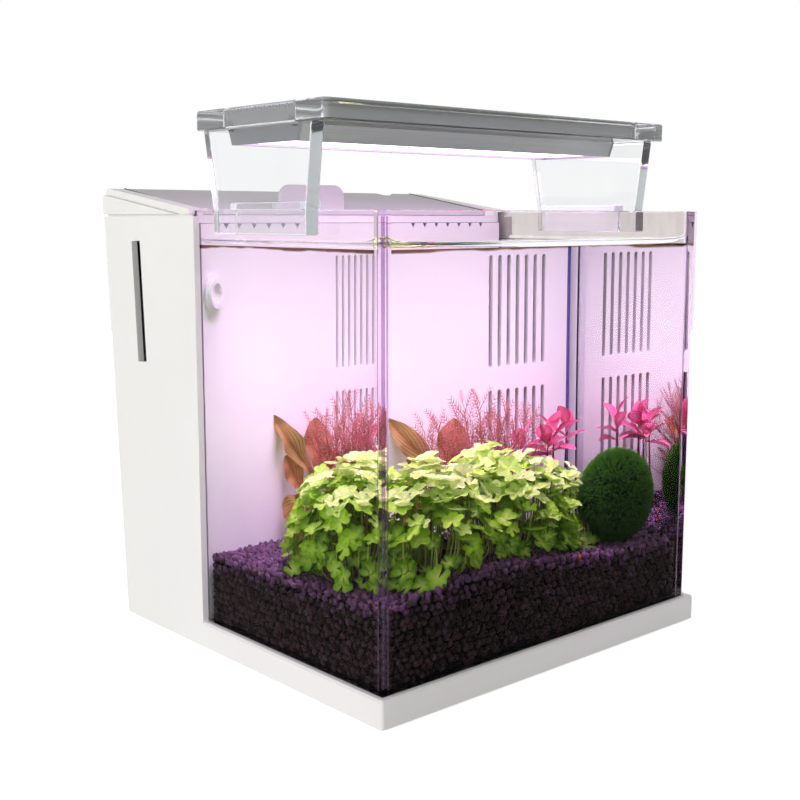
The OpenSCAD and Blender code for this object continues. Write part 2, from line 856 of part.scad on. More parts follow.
// Aluminium extrusion: flanges that rest on the plate, cooling fins, tapered lower body, trough for the LEDs
module led_housing() {
    d0 = led_front;
    d1 = led_front + led_d;
    fin_t = 1.2;
    pitch = led_d / fins;
    groove = 1;
    slot = [d0 + rim_wall, d1 - rim_wall];
    slot_z = led_z + diffuser_lip;
    color("silver")
        difference() {
            union() {
                along_x(-led_half, led_half, [
                    [d0, fin_floor],
                    [d1, fin_floor],
                    [d1, plate_z],
                    [d1 - led_taper, led_z],
                    [d0 + led_taper, led_z],
                    [d0, plate_z]
                ]);
                for (i = [0 : fins - 1])
                    block([-led_half, led_half],
                          [d0 + (i + 0.5) * pitch - fin_t / 2, d0 + (i + 0.5) * pitch + fin_t / 2],
                          [fin_floor - eps, plate_top]);
                for (d = [[d0, d0 + fin_t], [d1 - fin_t, d1]])
                    block([-led_half, led_half], d, [fin_floor - eps, plate_top + flange_t]);
                for (d = [[d0 - flange_w, d0 + eps], [d1 - eps, d1 + flange_w]])
                    block([-led_half, led_half], d, [plate_top, plate_top + flange_t]);
            }
            block([-led_half - 1, led_half + 1], [slot[0] + diffuser_lip, slot[1] - diffuser_lip],
                  [led_z - 1, led_z + led_drop]);
            block([-led_half - 1, led_half + 1], slot, [slot_z, slot_z + diffuser_t + 0.3]);
            for (d = [d0 - 1, d1 - groove])
                block([-led_half - 1, led_half + 1], [d, d + groove + 1], [plate_z + 2, plate_z + 3]);
            on_gland()
                cylinder(h = 20, r = gland_r, center = true);
        }
}

// Puts its child on the middle of the tapered rear face, pointing out of it
module on_gland() {
    translate([gland_x, back(led_front + led_d - led_taper / 2), led_z + led_drop / 2])
        rotate([-90 - atan(led_taper / led_drop), 0, 0])
            children();
}

// Flat cap that closes an end of the extrusion, with its lower corners cut to the taper
module led_end_cap(side) {
    d0 = led_front;
    d1 = led_front + led_d;
    bevel = 1.5;
    color("silver")
        difference() {
            along_x(side < 0 ? -led_half - cap_t : led_half, side < 0 ? -led_half : led_half + cap_t, [
                [d0 + led_taper, led_z],
                [d0, plate_z],
                [d0, plate_top - 2 - bevel],
                [d0 + bevel, plate_top - 2],
                [d1 - bevel, plate_top - 2],
                [d1, plate_top - 2 - bevel],
                [d1, plate_z],
                [d1 - led_taper, led_z]
            ]);
            cap_screw_places() cylinder(h = 20, r = 1.2, center = true);
        }
}

module led_end_cap_left() {
    led_end_cap(-1);
}

module led_end_cap_right() {
    led_end_cap(1);
}

// Puts its child at each of the four end-cap screws, along X
module cap_screw_places() {
    inset = 3.4;
    for (side = [-1, 1], d = [led_front + inset, led_front + led_d - inset])
        translate([side * (led_half + cap_t), back(d), plate_z + 1.4])
            rotate([0, side * 90, 0])
                children();
}

// Pan-head screws through the end caps
module end_cap_screws() {
    head_r = 2.6;
    head_h = 1.6;
    recess = 0.8;
    color("gray")
        cap_screw_places()
            difference() {
                union() {
                    cylinder(h = head_h, r = head_r);
                    translate([0, 0, -cap_t])
                        cylinder(h = cap_t + eps, r = 1.2);
                }
                for (turn = [0, 90])
                    rotate([0, 0, turn])
                        translate([-1.7, -0.3, head_h - recess])
                            cube([3.4, 0.6, recess + 1]);
            }
}

// Aluminium-backed circuit board against the roof of the trough
board_t = 1.6;
board_d = led_d - 2 * (rim_wall + diffuser_lip) - 1;
board_z = led_z + led_drop - board_t;

module led_board() {
    mid = led_front + led_d / 2;
    color("whitesmoke")
        block([-led_half + 2, led_half - 2], [mid - board_d / 2, mid + board_d / 2],
              [board_z, board_z + board_t]);
}

// Rows of LED packages on the board
module led_chips() {
    rows = 3;
    columns = 12;
    chip = 5;
    chip_h = 1.2;
    mid = led_front + led_d / 2;
    pitch_x = (2 * led_half - 12) / columns;
    pitch_d = board_d / rows;
    color("lemonchiffon")
        for (i = [0 : columns - 1], j = [0 : rows - 1]) {
            x = (i - (columns - 1) / 2) * pitch_x;
            d = mid + (j - (rows - 1) / 2) * pitch_d;
            block([x - chip / 2, x + chip / 2], [d - chip / 2, d + chip / 2], [board_z - chip_h, board_z]);
        }
}

// Opal sheet, slid into the grooves of the extrusion so that it rests on their lips
module light_diffuser() {
    slide = 0.2;
    color("white")
        block([-led_half + slide, led_half - slide],
              [led_front + rim_wall + slide, led_front + led_d - rim_wall - slide],
              [led_z + diffuser_lip, led_z + diffuser_lip + diffuser_t]);
}

// Rubber bush where the lead enters the rear of the housing
module lamp_cable_grommet() {
    shank = 3;
    head_r = 3.2;
    head_h = 1.4;
    bore_r = 1.3;
    color("dimgray")
        on_gland()
            difference() {
                union() {
                    translate([0, 0, -shank])
                        cylinder(h = shank + eps, r = gland_r);
                    cylinder(h = head_h, r = head_r);
                }
                cylinder(h = 20, r = bore_r, center = true);
            }
}

// Soil between the glass and the partition, a little higher at the front
soil_gap = 0.2;

module substrate_bed() {
    half = inner_x - soil_gap;
    d0 = ledge_w + glass_t + soil_gap;
    d1 = partition_front - soil_gap;
    color("black")
        along_x(-half, half, [
            [d0, floor_z],
            [d0, soil_front_z],
            [d1, soil_back_z],
            [d1, floor_z]
        ]);
}

// Takes the soil away from what stands in it
module on_soil() {
    difference() {
        children();
        substrate_bed();
    }
}

// A low round cushion of leaves: a cap of a sphere at a place on the soil
module cushion(x, d, r, h) {
    sphere_r = (r * r + h * h) / (2 * h);
    translate([x, back(d), soil_back_z - 2])
        intersection() {
            translate([0, 0, h - sphere_r])
                sphere(r = sphere_r);
            cylinder(h = h + 1, r = sphere_r + 1);
        }
}

// Carpet of small lobed leaves, grown into three cushions beside the moss ball
module carpet_plant() {
    color("yellowgreen")
        difference() {
            on_soil() {
                cushion(-60, 62, 46, 64);
                cushion(-4, 66, 48, 64);
                cushion(38, 70, 36, 50);
            }
            moss_sphere(moss_d + 0.6);
        }
}

// Upright stems from a common root, each with a crown at its top
module stems(places, stem_r, crown_r) {
    for (p = places) {
        translate([p[0], back(p[1]), soil_back_z - 4])
            cylinder(h = p[2], r = stem_r, $fn = 24);
        translate([p[0], back(p[1]), soil_back_z - 4 + p[2]])
            sphere(r = crown_r, $fn = 24);
    }
}

module red_leaf_plant() {
    color("indianred")
        on_soil() stems([[-18, 143, 58], [8, 141, 56]], 2.5, 11);
}

module feather_plant() {
    color("palevioletred")
        on_soil() stems([[-4, 125, 74], [16, 122, 72], [38, 119, 66]], 2.5, 12);
}

module pink_stem_plant() {
    color("hotpink")
        on_soil() stems([[72, 120, 66], [92, 130, 70], [62, 140, 60]], 2, 8);
}

// Round ball of moss, resting on the soil
module moss_ball() {
    color("darkgreen")
        on_soil() moss_sphere(moss_d);
}

module moss_sphere(d) {
    moss_x = 80;
    moss_back = 43;
    sunk = 9;
    translate([moss_x, back(moss_back), soil_front_z + moss_d / 2 - sunk])
        sphere(d = d);
}

tank_shell();
foam_mat();
rubber_feet();
glass_bottom();
glass_front();
glass_back();
glass_left();
glass_right();
silicone_seams();
filter_partition();
outlet_nozzle();
chamber_baffle_left();
chamber_baffle_right();
filter_sponge();
media_basket();
ceramic_rings();
pump_body();
pump_cover();
pump_impeller();
pump_shaft();
suction_cups();
delivery_pipe();
hood_frame();
lid_hinge_pins();
hood_lid();
lamp_plate();
lamp_leg_left();
lamp_leg_right();
lamp_clip_left();
lamp_clip_right();
led_housing();
led_end_cap_left();
led_end_cap_right();
end_cap_screws();
led_board();
led_chips();
light_diffuser();
lamp_cable_grommet();
substrate_bed();
carpet_plant();
red_leaf_plant();
feather_plant();
pink_stem_plant();
moss_ball();
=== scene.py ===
import bpy
import numpy as np
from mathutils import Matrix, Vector


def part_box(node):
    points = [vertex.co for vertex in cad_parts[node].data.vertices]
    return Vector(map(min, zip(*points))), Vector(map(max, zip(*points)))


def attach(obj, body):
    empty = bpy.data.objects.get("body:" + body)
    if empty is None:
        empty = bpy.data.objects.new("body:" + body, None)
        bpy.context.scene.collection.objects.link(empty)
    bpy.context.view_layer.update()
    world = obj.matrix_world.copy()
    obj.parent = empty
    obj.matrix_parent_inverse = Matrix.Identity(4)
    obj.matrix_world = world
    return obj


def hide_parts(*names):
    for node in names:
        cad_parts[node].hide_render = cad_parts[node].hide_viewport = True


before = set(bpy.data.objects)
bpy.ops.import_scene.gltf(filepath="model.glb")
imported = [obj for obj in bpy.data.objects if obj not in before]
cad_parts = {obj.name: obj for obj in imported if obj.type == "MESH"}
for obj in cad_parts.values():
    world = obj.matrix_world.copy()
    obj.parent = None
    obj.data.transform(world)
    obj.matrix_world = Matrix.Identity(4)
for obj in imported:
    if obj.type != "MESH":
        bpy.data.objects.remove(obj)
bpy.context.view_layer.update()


# Base tray and rear casing: one white ABS moulding that carries the glass box on a foam mat.
# The mould is spark-eroded, which leaves a fine satin grain. Four rubber feet are pressed in below.
MM = 0.001


def linear(colour):
    """An sRGB colour such as "EDECE8" as linear RGBA: each channel goes through the sRGB curve."""
    srgb = np.array([int(colour[i:i + 2], 16) for i in (0, 2, 4)]) / 255
    return (*np.where(srgb <= 0.04045, srgb / 12.92, ((srgb + 0.055) / 1.055) ** 2.4), 1.0)


def add(tree, kind, inputs=None, **settings):
    """A node with its settings. An input is a plain value, a socket that feeds it, or a node whose first
    output does."""
    node = tree.nodes.new("ShaderNode" + kind)
    for name, value in settings.items():
        setattr(node, name, value)
    for name, value in (inputs or {}).items():
        if isinstance(value, bpy.types.Node):
            value = value.outputs[0]
        if isinstance(value, bpy.types.NodeSocket):
            tree.links.new(value, node.inputs[name])
        else:
            node.inputs[name].default_value = value
    return node


def new_material(name):
    """An empty material and its node tree."""
    material = bpy.data.materials.new(name)
    material.use_nodes = True
    material.node_tree.nodes.clear()
    return material, material.node_tree


def patches(tree, size, detail=2.0):
    """Soft patches on the piece, from 0 to 1, of one size or of a size along each axis."""
    place = add(tree, "TexCoord").outputs["Object"]
    place = add(tree, "Mapping", {"Vector": place, "Scale": np.ones(3) / size})
    return add(tree, "TexNoise", {"Vector": place, "Scale": 1.0, "Detail": detail})


def two_tone(tree, colour, shade, size, detail=2.0):
    """Two close tones that run into each other in soft patches of a size."""
    return add(tree, "Mix", {0: patches(tree, size, detail), 6: linear(colour), 7: linear(shade)},
               data_type="RGBA").outputs[2]


def moulded(name, colour, shade, grain, roughness, relief=0.15):
    """Moulded plastic or rubber: two close tones in soft patches, and a grain in its gloss and its relief."""
    material, tree = new_material(name)
    tone = two_tone(tree, colour, shade, 45.5 * MM, 3.0)
    fine = patches(tree, grain)
    gloss = add(tree, "MapRange", {"Value": fine, "To Min": roughness - 0.07, "To Max": roughness + 0.07})
    bump = add(tree, "Bump", {"Height": fine, "Strength": relief, "Distance": grain / 8})
    shader = add(tree, "BsdfPrincipled", {"Base Color": tone, "Roughness": gloss, "IOR": 1.53,
                                          "Normal": bump})
    add(tree, "OutputMaterial", {"Surface": shader})
    return material


def dress(material, *names):
    """Gives CAD nodes a material."""
    for name in names:
        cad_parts[name].data.materials.clear()
        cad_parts[name].data.materials.append(material)


white_abs = moulded("white ABS", "F6F5F1", "F1F0EC", 0.7 * MM, 0.42)
rubber = moulded("grey rubber", "5B5B5D", "505052", 0.4 * MM, 0.7, 0.3)
dress(white_abs, "tank_shell")
dress(moulded("closed-cell foam", "3A3A3C", "2C2C2E", 0.5 * MM, 0.9, 0.6), "foam_mat")
dress(rubber, "rubber_feet")


# Glass box: five panes of 5 mm low-iron float glass with ground and polished edges.
# The panes are butted together and bonded with clear silicone, which shows in the corners.
front, back, left, right, bottom = (np.array(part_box("glass_" + side))
                                    for side in ("front", "back", "left", "right", "bottom"))
outer = np.array([[left[0, 0], front[0, 1]], [right[1, 0], back[1, 1]]])
inner = np.array([[left[1, 0], front[1, 1]], [right[0, 0], back[0, 1]]])
pane_foot, rim = front[:, 2]
level = rim - 18.2 * MM
outer_corner, inner_corner, waterline_shade_depth, ground_edge = 2.7 * MM, 3.2 * MM, 2.4 * MM, 0.4 * MM
glass_ior, water_ior, pane_shade = 1.5, 1.333, "CCCFCF"
wet_bend = glass_ior / water_ior


def loft(rings, joined=False):
    """Surface through closed rings of points: point j of ring i meets point j of ring i + 1, and the last
    point of a ring meets its first. The end rings are closed by flat caps, or meet each other."""
    count, size = rings.shape[:2]
    index = np.arange(count * size).reshape(count, size)
    caps = [] if joined else [index[0, ::-1].tolist(), index[-1].tolist()]
    index = np.vstack([index, index[:1]]) if joined else index
    index = np.hstack([index, index[:, :1]])
    quads = np.stack([index[:-1, :-1], index[:-1, 1:], index[1:, 1:], index[1:, :-1]], -1).reshape(-1, 4)
    return rings.reshape(-1, 3), quads.tolist() + caps


def extruded(outline, axis, ends):
    """A flat outline carried straight along an axis (0 for X, 1 for Y, 2 for Z) from one end to the other."""
    return loft(np.stack([np.insert(outline, axis, end, axis=1) for end in ends]))


def piece(name, points, faces, materials, body, slot, *nodes, smooth=True, values=None):
    """A mesh object from points in metres and faces, turned outward by the sign of its volume, in place of
    these CAD nodes. values are numbers per point that a material reads by name."""
    mesh = bpy.data.meshes.new(name)
    mesh.from_pydata(np.asarray(points, dtype=np.float32), [], faces)
    mesh.calc_loop_triangles()
    corners = np.empty(3 * len(mesh.loop_triangles), dtype=np.int32)
    mesh.loop_triangles.foreach_get("vertices", corners)
    a, b, c = np.asarray(points)[corners.reshape(-1, 3)].transpose(1, 0, 2)
    if np.einsum("ij,ij->", a - a.mean(0), np.cross(b - a, c - a)) < 0:
        mesh.flip_normals()
    mesh.polygons.foreach_set("use_smooth", np.full(len(mesh.polygons), smooth))
    for key, value in (values or {}).items():
        mesh.attributes.new(key, "FLOAT", "POINT").data.foreach_set("value", value.astype(np.float32))
    for material in materials:
        mesh.materials.append(material)
    thing = bpy.data.objects.new(name, mesh)
    bpy.context.scene.collection.objects.link(thing)
    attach(thing, body)
    if nodes:
        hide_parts(*nodes)
    return thing


def bevelled(thing, width):
    """Breaks the piece's sharp edges with a small round."""
    bevel = thing.modifiers.new("edges", "BEVEL")
    bevel.width, bevel.segments, bevel.limit_method = width, 2, "ANGLE"


def bypass(tree, shader, tint, rays=("Is Shadow Ray",), volume=None):
    """Clear stuff for what looks at it, and a plain filter of that tint for the kinds of rays that only
    carry light, and for light that was mirrored more than twice inside."""
    path = add(tree, "LightPath")
    passing = add(tree, "Math", {0: path.outputs["Glossy Depth"], 1: 2.5}, operation="GREATER_THAN")
    for ray in rays:
        passing = add(tree, "Math", {0: passing, 1: path.outputs[ray]}, operation="MAXIMUM")
    through = add(tree, "BsdfTransparent", {"Color": linear(tint)})
    surface = {"Surface": add(tree, "MixShader", {0: passing, 1: shader, 2: through})}
    add(tree, "OutputMaterial", {**surface, "Volume": volume} if volume else surface)


# Glass against air, low in iron and coated against glare: from outside it mirrors little
glass_air, tree = new_material("float glass in air")
tone = two_tone(tree, "FEFEFE", "FBFAFA", 83 * MM, 1.0)
mirror = add(tree, "BsdfGlossy", {"Color": linear("FFFFFF"), "Roughness": 0.0})
bent = add(tree, "BsdfRefraction", {"Color": tone, "Roughness": 0.0, "IOR": glass_ior})
slant = add(tree, "Fresnel", {"IOR": 1.06})
outside = add(tree, "MixShader", {0: slant, 1: bent, 2: mirror})
inside = add(tree, "BsdfGlass", {"Color": tone, "Roughness": 0.0, "IOR": glass_ior})
turned = add(tree, "NewGeometry").outputs["Backfacing"]
bypass(tree, add(tree, "MixShader", {0: turned, 1: outside, 2: inside}), pane_shade)

# Glass against water: the two bend light almost alike, so this face can hardly be seen
glass_wet, tree = new_material("float glass in water")
tone = two_tone(tree, "FEFEFE", "FBFAFA", 83 * MM, 1.0)
clear = add(tree, "BsdfRefraction", {"Color": tone, "Roughness": 0.0, "IOR": wet_bend})
shiny = add(tree, "BsdfGlass", {"Color": tone, "Roughness": 0.0, "IOR": wet_bend})
bypass(tree, add(tree, "MixShader", {0: 0.25, 1: clear, 2: shiny}), pane_shade)

# Bonded corner: the two ground edges and the clear bond between them let the eye straight through
glass_corner, tree = new_material("bonded glass corner")
# Its lavender tint is painted light: the pink lamp's glow seen through the corner
through = add(tree, "BsdfTransparent", {"Color": two_tone(tree, "FCF8FD", "F4EDF6", 2 * MM)})
mirror = add(tree, "BsdfGlossy", {"Color": linear("FFFFFF"), "Roughness": 0.05})
slant = add(tree, "Fresnel", {"IOR": 1.06})
bypass(tree, add(tree, "MixShader", {0: slant, 1: through, 2: mirror}), pane_shade)

# Inside of that corner, under water: light that was bent on its way into the glass is bent back here
glass_seam, tree = new_material("bonded glass corner in water")
# Its faint lavender tint is painted light of the pink lamp as well
tone = two_tone(tree, "FDFBFD", "F8F4F9", 2 * MM)
through = add(tree, "BsdfTransparent", {"Color": tone})
bent = add(tree, "BsdfRefraction", {"Color": tone, "Roughness": 0.0, "IOR": wet_bend})
entered = add(tree, "LightPath").outputs["Transmission Depth"]
entered = add(tree, "Math", {0: entered, 1: 0.5}, operation="GREATER_THAN")
bypass(tree, add(tree, "MixShader", {0: entered, 1: through, 2: bent}), pane_shade)

# Dried water marks on the inside above the water line, where drops ran down and left their lime
glass_marked, tree = new_material("float glass with water marks")
lime = two_tone(tree, "ECE6E4", "CFC7C5", np.array([6.25, 6.25, 25]) * MM, 4.0)
bypass(tree, add(tree, "BsdfGlass", {"Color": lime, "Roughness": 0.0, "IOR": glass_ior}), pane_shade)

# Painted shade along the water line: the dark line the meniscus gives, brown to olive, deeper in some places
# than in others
glass_waterline_shade, tree = new_material("float glass with painted shade at the water line")
height = add(tree, "SeparateXYZ", {0: add(tree, "TexCoord").outputs["Object"]}).outputs[2]
lower = add(tree, "MapRange", {"Value": patches(tree, 45.5 * MM), "From Min": 0.25, "From Max": 0.52,
                               "To Min": level, "To Max": level - 2.2 * MM})
above = add(tree, "Math", {0: height, 1: lower}, operation="SUBTRACT")
# The band of painted shade, whose lower edge wanders below the water line
thick = add(tree, "MapRange", {"Value": above, "From Min": 0.0, "From Max": 0.8 * MM})
waterline_shade_tone = two_tone(tree, "6E3C4A", "8A7A48", 111 * MM, 1.0)
tone = add(tree, "Mix", {0: thick, 6: linear("FCFCFC"), 7: waterline_shade_tone}, data_type="RGBA").outputs[2]
shader = add(tree, "BsdfRefraction", {"Color": tone, "Roughness": 0.0, "IOR": wet_bend})
bypass(tree, shader, pane_shade)


def wall_ring(box, cut, z):
    """A rectangle at a height, from two of its corners. Each side is divided at a distance from its ends."""
    x, y = np.array([box[0], box[0] + cut, box[1] - cut, box[1]]).T
    flat = np.vstack([np.column_stack([x[:3], y[[0, 0, 0]]]), np.column_stack([x[[3, 3, 3]], y[:3]]),
                      np.column_stack([x[:0:-1], y[[3, 3, 3]]]), np.column_stack([x[[0, 0, 0]], y[:0:-1]])])
    return np.column_stack([flat, np.full(12, z)])


# The four walls are one ring: up the outside, over the rim and down the inside, dry, with a band of painted
# shade at the water line, and wet.
# Round it, every third face is a pane, and inside the right and the back one drops have dried
rings = np.stack([wall_ring(outer, outer_corner, z) for z in (pane_foot, rim)]
                 + [wall_ring(inner, inner_corner, z) for z in (rim, level, level - waterline_shade_depth, pane_foot)])
finishes = (glass_air, glass_wet, glass_corner, glass_marked, glass_waterline_shade, glass_seam)
air, wet, corner, marked, waterline_shaded, seam = range(len(finishes))
glass_walls = piece("glass_walls", *loft(rings, joined=True), finishes, "tank", "clear_glass", "glass_front",
                    "glass_back", "glass_left", "glass_right", smooth=False)
on_pane = np.arange(12) % 3 == 1
kinds = np.where(on_pane, np.array([[air], [air], [air], [waterline_shaded], [wet], [air]]), corner)
kinds[2, [4, 7]] = marked
kinds[3:5, ~on_pane] = seam
glass_walls.data.polygons.foreach_set("material_index", kinds.ravel().astype(np.int32))
bevelled(glass_walls, ground_edge)
rings = np.stack([wall_ring(bottom[:, :2], 6 * MM, z) for z in bottom[:, 2]])
glass_floor = piece("glass_floor", *loft(rings), (glass_air,), "tank", "clear_glass", "glass_bottom",
                    smooth=False)
bevelled(glass_floor, ground_edge)

# Clear cured silicone: a thin bead smoothed into each upright corner, slightly milky. Its lavender tint is
# painted light of the pink lamp
silicone, tree = new_material("clear silicone")
tone = two_tone(tree, "E6DCEA", "D2C6D8", 3.33 * MM)
milk = add(tree, "BsdfPrincipled", {"Base Color": tone, "Roughness": 0.3, "IOR": 1.41})
through = add(tree, "BsdfTransparent", {"Color": linear("E4DAE8")})
add(tree, "OutputMaterial", {"Surface": add(tree, "MixShader", {0: 0.08, 1: through, 2: milk})})
bead_size = 1.3 * MM
turn = np.radians(np.linspace(270, 180, 7))
hollow = bead_size * (1 + np.column_stack([np.cos(turn), np.sin(turn)]))
outline = np.vstack([[[0, 0]], hollow]) + 0.05 * MM
for name, x, y in (("front_left", 0, 0), ("front_right", 1, 0), ("back_right", 1, 1), ("back_left", 0, 1)):
    flat = [inner[x, 0], inner[y, 1]] + outline * [1 - 2 * x, 1 - 2 * y]
    piece("silicone_" + name, *extruded(flat, 2, (pane_foot + MM, rim - 3 * MM)), (silicone,), "tank",
          "silicone", "silicone_seams", smooth=False)


# Filter partition and chamber walls: white sheet plastic with a comb and intake slots cut in it.
# The outlet nozzle is a glossy turned piece that is pushed through the partition from the front.
dress(moulded("white ABS sheet", "F6F5F3", "F0EFEC", 1.5 * MM, 0.34, 0.08), "filter_partition",
      "outlet_nozzle", "chamber_baffle_left", "chamber_baffle_right", "media_basket")


# Filter media: open-cell sponge behind the intake, and fired clay rings in the lift-out basket.
# Both are rough and full of pores, painted dark inside as shade.
def porous(name, colour, pore_shade, pore, depth):
    """Foamed or fired stuff: pores as cells of a size, painted dark inside as shade, and raised at their
    walls.
    """
    material, tree = new_material(name)
    place = add(tree, "TexCoord").outputs["Object"]
    cell = add(tree, "TexVoronoi", {"Vector": place, "Scale": 1 / pore}).outputs["Distance"]
    tone = add(tree, "Mix", {0: cell, 6: linear(pore_shade), 7: linear(colour)}, data_type="RGBA").outputs[2]
    bump = add(tree, "Bump", {"Height": cell, "Strength": 0.8, "Distance": depth})
    shader = add(tree, "BsdfPrincipled", {"Base Color": tone, "Roughness": 0.9, "Normal": bump})
    add(tree, "OutputMaterial", {"Surface": shader})
    return material


def slab(x, y, z):
    """A straight strip from its two ends along each axis: a rectangle of points at each height."""
    return extruded(np.array([[x[0], y[0]], [x[1], y[0]], [x[1], y[1]], [x[0], y[1]]]), 2, z)


sponge = porous("open-cell sponge", "5A5592", "232144", 1.6 * MM, 0.8 * MM)
dress(sponge, "filter_sponge")
dress(porous("fired clay", "ECE8E0", "C9C2B4", 0.9 * MM, 0.2 * MM), "ceramic_rings")

# A strip of the same sponge is stuck behind each group of the comb's notches and bulges into them. It is
# painted shade: a dark sheet that gives the notches the darkness of the covered chamber behind
low, high = np.array(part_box("filter_partition"))
notch = np.array([[-1.75, -0.1], [1.75, -0.1], [0, -2.95]]) * MM
notch_pitch = 10 * MM
for name, ends in (("left", np.array([-109, -41]) * MM), ("right", np.array([31.5, 99.5]) * MM)):
    points, faces = slab(ends, high[1] + np.array([0.1, 2.2]) * MM, high[2] + np.array([-6.7, 0.1]) * MM)
    for k in range(-3, 4):
        tooth, sides = extruded(notch + [ends.mean() + k * notch_pitch, high[2]], 1,
                                (low[1] + 0.5 * MM, high[1] + MM))
        faces = faces + [[index + len(points) for index in side] for side in sides]
        points = np.vstack([points, tooth])
    piece("comb_shade_sponge_" + name, points, faces, (sponge,), "tank", "sponge", smooth=False)

# A strip of filter wool stands in the tall slit between the partition and the right pane
wool = porous("blue filter wool", "6A66A8", "3E3C74", 1.2 * MM, 0.4 * MM)
strip = slab(inner[1, 0] - np.array([3.1, 0.2]) * MM, low[1] + np.array([0.2, 3.6]) * MM,
             (low[2] + MM, level - 4 * MM))
piece("slit_wool", *strip, (wool,), "tank", "sponge", smooth=False)

# A thin strip of opal acrylic bonded to the right pane edges the slit in front
opal_strip, tree = new_material("opal acrylic strip")
tone = two_tone(tree, "F8F4FA", "EFE9F2", 16.7 * MM)
skin = add(tree, "BsdfPrincipled", {"Base Color": tone, "Roughness": 0.3, "IOR": 1.49})
milk = add(tree, "BsdfTranslucent", {"Color": tone})
add(tree, "OutputMaterial", {"Surface": add(tree, "MixShader", {0: 0.8, 1: skin, 2: milk})})
strip = slab(inner[1, 0] - np.array([0.6, 0.05]) * MM, low[1] - np.array([8.8, 0.2]) * MM,
             (45 * MM, level - 3 * MM))
piece("slit_trim", *strip, (opal_strip,), "tank", "partition_abs", smooth=False)


# Pump: black moulded body and cover, blue magnet rotor with its impeller on a ceramic shaft.
# Suction cups hold it off the glass, and a semi-clear pipe leads from its spigot to the nozzle.
dress(moulded("black ABS", "232326", "1B1B1E", 0.8 * MM, 0.45), "pump_body", "pump_cover")
dress(moulded("blue acetal", "2C4C8E", "27447F", 0.8 * MM, 0.35), "pump_impeller")
dress(moulded("zirconia ceramic", "F2F0EA", "E8E6DF", 0.3 * MM, 0.25, 0.05), "pump_shaft")
dress(rubber, "suction_cups")
dress(moulded("semi-clear PVC", "D5D8D9", "C9CDCE", 1.2 * MM, 0.25, 0.05), "delivery_pipe")


# Rear hood: wedge frame in the casing's white ABS, and a light grey lid that turns on two steel pins.
# The lid is moulded in a slightly darker ABS with the same satin grain.
dress(white_abs, "hood_frame")
dress(moulded("light grey ABS", "E0DEDE", "D8D6D6", 0.7 * MM, 0.75), "hood_lid")

# A flattened bead of grey rubber runs along each side of the lid, a dark line along its edges
low, high = np.array(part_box("hood_lid"))
bead_wide, bead_tall = 0.9 * MM, 0.5 * MM
turn = np.linspace(0, 2 * np.pi, 10, endpoint=False)
bead = np.column_stack([bead_wide * np.cos(turn), 0 * turn, bead_tall * np.sin(turn)])
for name, x in (("left", low[0] + bead_wide), ("right", high[0] - bead_wide)):
    rings = np.stack([bead + [x, high[1] - 4 * MM, 259.1 * MM], bead + [x, low[1] + MM, 247 * MM]])
    piece("lid_bead_" + name, *loft(rings), (rubber,), "lid", "rubber_grey")

# Turned steel: fine marks of the tool, which scatter its gloss
steel, tree = new_material("turned steel")
gloss = add(tree, "MapRange", {"Value": patches(tree, 0.4 * MM), "To Min": 0.22, "To Max": 0.42})
shader = add(tree, "BsdfPrincipled", {"Base Color": linear("B9BABC"), "Metallic": 1.0, "Roughness": gloss})
add(tree, "OutputMaterial", {"Surface": shader})
dress(steel, "lid_hinge_pins")


# Lamp bridge: a plate, two legs and two hooks of clear cast acrylic, solvent-bonded to each other.
# The edges are sawn, polished and lightly rounded, so they catch the light as thin lines.
def clear_acrylic(name, light, dark, density, roughness, clear):
    """Clear acrylic: a faint haze, a share of the light let through, and a grey that grows with the length of
    the way through it."""
    material, tree = new_material(name)
    haze = two_tone(tree, light, dark, 25 * MM)
    shader = add(tree, "BsdfPrincipled", {"Base Color": haze, "Roughness": roughness, "IOR": 1.49,
                                          "Transmission Weight": clear})
    depth = add(tree, "VolumeAbsorption", {"Color": linear("B4B7BA"), "Density": density})
    bypass(tree, shader, "F2F5F6", ("Is Shadow Ray", "Is Diffuse Ray"), depth)
    return material


# All four are one acrylic. The plate edges' copy is milkier, a painted light. The legs' edge copy is grey, a
# painted shade, and the legs' sheet greys four times as fast as the plate's, a painted shade too
acrylic = clear_acrylic("clear cast acrylic", "FBFCFC", "F5F6F7", 2.0, 0.0, 0.95)
plate_edge_painted_light = clear_acrylic("acrylic, polished edge, painted paler", "FBFCFC", "F5F6F7", 1.0, 0.05, 0.84)
acrylic_thick = clear_acrylic("clear cast acrylic, thick sheet", "FBFCFC", "F5F6F7", 8.0, 0.0, 1.0)
leg_edge_painted_shade = clear_acrylic("acrylic, thick sheet's edge, painted grey", "D6D7D9", "C4C5C7", 10.0, 0.12, 0.93)


def rounded_rectangle(centre, half, radius, z, arc=6):
    """A closed ring at a height: a rectangle with its corners as quarter circles of a radius."""
    turn = np.linspace(0, np.pi / 2, arc)
    angle = (np.arange(4)[:, None] * np.pi / 2 + turn).ravel()
    corner = np.repeat([[1, 1], [-1, 1], [-1, -1], [1, -1]], arc, axis=0) * (np.array(half) - radius)
    flat = np.array(centre) + corner + radius * np.column_stack([np.cos(angle), np.sin(angle)])
    return np.column_stack([flat, np.full(4 * arc, z)])


